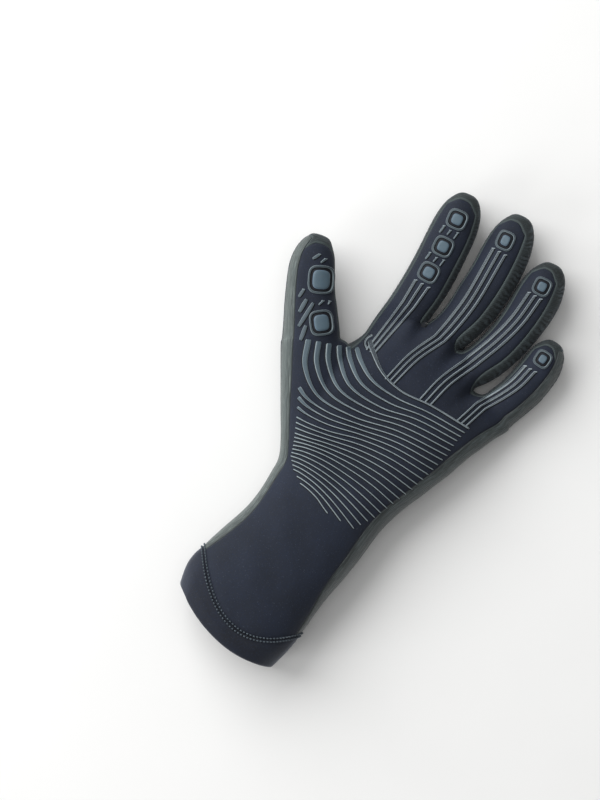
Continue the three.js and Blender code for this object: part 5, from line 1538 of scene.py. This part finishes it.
class GLOVE_OT_hem_stitches(bpy.types.Operator):
    """Sews the hem with two rows of stitches"""

    bl_idname = "glove.hem_stitches"
    bl_label = "Hem stitches"

    def execute(self, context):
        settings = context.scene.glove
        pitch, thread = settings.stitch_pitch / MM, settings.thread / MM
        skin = glove_skin(*skin_key())
        loop = np.linspace(0, HAND_STEPS, 1600, endpoint=False)
        seam = cuff_surface(skin, np.full(loop.shape, float(HEM_TOP_ROW)), loop)
        up = cuff_surface(skin, np.full(loop.shape, HEM_TOP_ROW + 0.05), loop) - seam
        run = unit(np.roll(seam, -1, axis=0) - np.roll(seam, 1, axis=0))
        normal = unit(np.cross(run, up))
        away = np.cross(normal, run)
        stations, ring = 7, 8
        places, across, along = [], [], []
        for offset in STITCH_ROWS:
            line = seam + away * offset
            step = np.linalg.norm(np.roll(line, -1, axis=0) - line, axis=1)
            walked = np.concatenate([[0], np.cumsum(step)])
            count = int(round(walked[-1] / pitch))
            closed = np.concatenate([np.arange(len(loop)), [0]])
            middle = (np.arange(count) + (0.5 if offset > 0 else 0)) * walked[-1] / count
            t = np.linspace(-1, 1, stations)
            at = (middle[:, None] + t * pitch * 0.37) % walked[-1]

            def pick(table):
                return np.stack([np.interp(at, walked, table[closed, k]) for k in range(3)],
                                axis=-1)

            turn = 2 * np.pi * np.arange(ring) / ring
            radius = thread / 2 * np.sqrt(np.maximum(1 - t ** 4, 0.04))
            lift = thread * (0.42 - 0.8 * t ** 2)
            centre = pick(line) + pick(normal) * lift[None, :, None]
            turned = (pick(away)[:, :, None] * np.cos(turn)[:, None]
                      + pick(normal)[:, :, None] * np.sin(turn)[:, None])
            places.append(np.maximum(centre[:, :, None] + turned * radius[None, :, None, None],
                                     (-np.inf, -np.inf, 0)))
            across.append(np.broadcast_to(np.arange(ring) / ring, (count, stations, ring)))
            along.append(np.broadcast_to((t * pitch)[:, None], (count, stations, ring)))
        total = sum(len(group) for group in places)
        quads, caps = tube_faces(stations, ring, total)
        make_piece("hem_stitches", np.concatenate(places),
                   [quads, caps], [sewing_thread("bonded_polyester_thread")],
                   values={"across": np.concatenate([a.ravel() for a in across]),
                           "along": np.concatenate([a.ravel() for a in along])})
        return {"FINISHED"}


class STUDIO_OT_stage(bpy.types.Operator):
    """Sets the floor, the soft lights and the camera"""

    bl_idname = "studio.stage"
    bl_label = "Stage"

    def execute(self, context):
        studio = context.scene.studio
        reach, drop, cells = 1.6, 0.4 * MM, 8
        edge = np.linspace(-reach, reach, cells + 1)
        u, v = np.meshgrid(edge, edge)
        i, j = np.meshgrid(np.arange(cells), np.arange(cells))
        corner = (j * (cells + 1) + i).ravel()
        places = np.stack([u, v, np.full(u.shape, -drop)], axis=-1).reshape(-1, 3)
        faces = np.stack([corner, corner + 1, corner + cells + 2, corner + cells + 1], axis=1)
        mesh = bpy.data.meshes.new("studio_floor")
        mesh.from_pydata(places.tolist(), [], faces.tolist())
        floor = bpy.data.objects.new("studio_floor", mesh)
        context.scene.collection.objects.link(floor)
        material, tree, shader, place = new_material("matt_painted_board")
        colour = blended(tree, ramp(tree, noise(tree, place, 60, 2), 0.3, 0.7, 0, 0.25),
                         (*studio.floor_colour, 1), linear("#efefee"))
        tree.links.new(colour, shader.inputs["Base Color"])
        shader.inputs["Roughness"].default_value = 0.9
        mesh.materials.append(material)
        target = Vector(studio.look_at)
        for name, place, size, power in (
                ("key_light", (-1.5, 0.5, 1.25), 2.3, studio.key_power * 1.08),
                ("top_light", (-0.1, 0.3, 2.2), 1.4, studio.key_power * 0.15),
                ("low_light", (-1.1, -1.5, 0.75), 1.1, studio.key_power * 0.3)):
            light = bpy.data.lights.new(name, "AREA")
            light.energy, light.shape, light.size = power, "DISK", size
            lamp = bpy.data.objects.new(name, light)
            lamp.location = place
            lamp.rotation_euler = (target - lamp.location).to_track_quat("-Z", "Y").to_euler()
            context.scene.collection.objects.link(lamp)
        world = bpy.data.worlds.new("studio_air")
        world.use_nodes = True
        world.node_tree.nodes["Background"].inputs["Color"].default_value = (1, 1, 1, 1)
        world.node_tree.nodes["Background"].inputs["Strength"].default_value = 0.26
        context.scene.world = world
        context.scene.view_settings.view_transform = "Standard"
        data = bpy.data.cameras.new("camera")
        data.lens, data.sensor_width = studio.lens, 36
        camera = bpy.data.objects.new("camera", data)
        distance = studio.frame_height * studio.lens / data.sensor_width
        camera.location = target + Vector((0, 0, distance))
        camera.rotation_euler = (0, 0, studio.turn)
        context.scene.collection.objects.link(camera)
        context.scene.camera = camera
        return {"FINISHED"}


class GLOVE_PT_build(bpy.types.Panel):
    """Lists the glove's pieces and the stage"""

    bl_idname = "GLOVE_PT_build"
    bl_label = "Diving glove"
    bl_space_type = "VIEW_3D"
    bl_region_type = "UI"
    bl_category = "Glove"

    def draw(self, context):
        for settings in (context.scene.glove, context.scene.studio):
            column = self.layout.column()
            for name in settings.__annotations__:
                column.prop(settings, name)
        for operator in OPERATORS:
            self.layout.operator(operator.bl_idname)


OPERATORS = (GLOVE_OT_panels, GLOVE_OT_palm_ribs, GLOVE_OT_finger_stripes, GLOVE_OT_dashes,
             GLOVE_OT_pads, GLOVE_OT_hem_stitches, STUDIO_OT_stage)
CLASSES = (GloveSettings, StudioSettings, *OPERATORS, GLOVE_PT_build)


def register():
    """Registers the classes and puts the settings on the scene."""
    for item in CLASSES:
        bpy.utils.register_class(item)
    bpy.types.Scene.glove = PointerProperty(type=GloveSettings)
    bpy.types.Scene.studio = PointerProperty(type=StudioSettings)


def unregister():
    """Takes the settings and the classes away again."""
    del bpy.types.Scene.studio
    del bpy.types.Scene.glove
    for item in reversed(CLASSES):
        bpy.utils.unregister_class(item)


def main():
    """Builds every piece and the stage."""
    register()
    bpy.ops.glove.panels()
    bpy.ops.glove.palm_ribs()
    bpy.ops.glove.finger_stripes()
    bpy.ops.glove.dashes()
    bpy.ops.glove.pads()
    bpy.ops.glove.hem_stitches()
    bpy.ops.studio.stage()


if __name__ == "__main__":
    main()
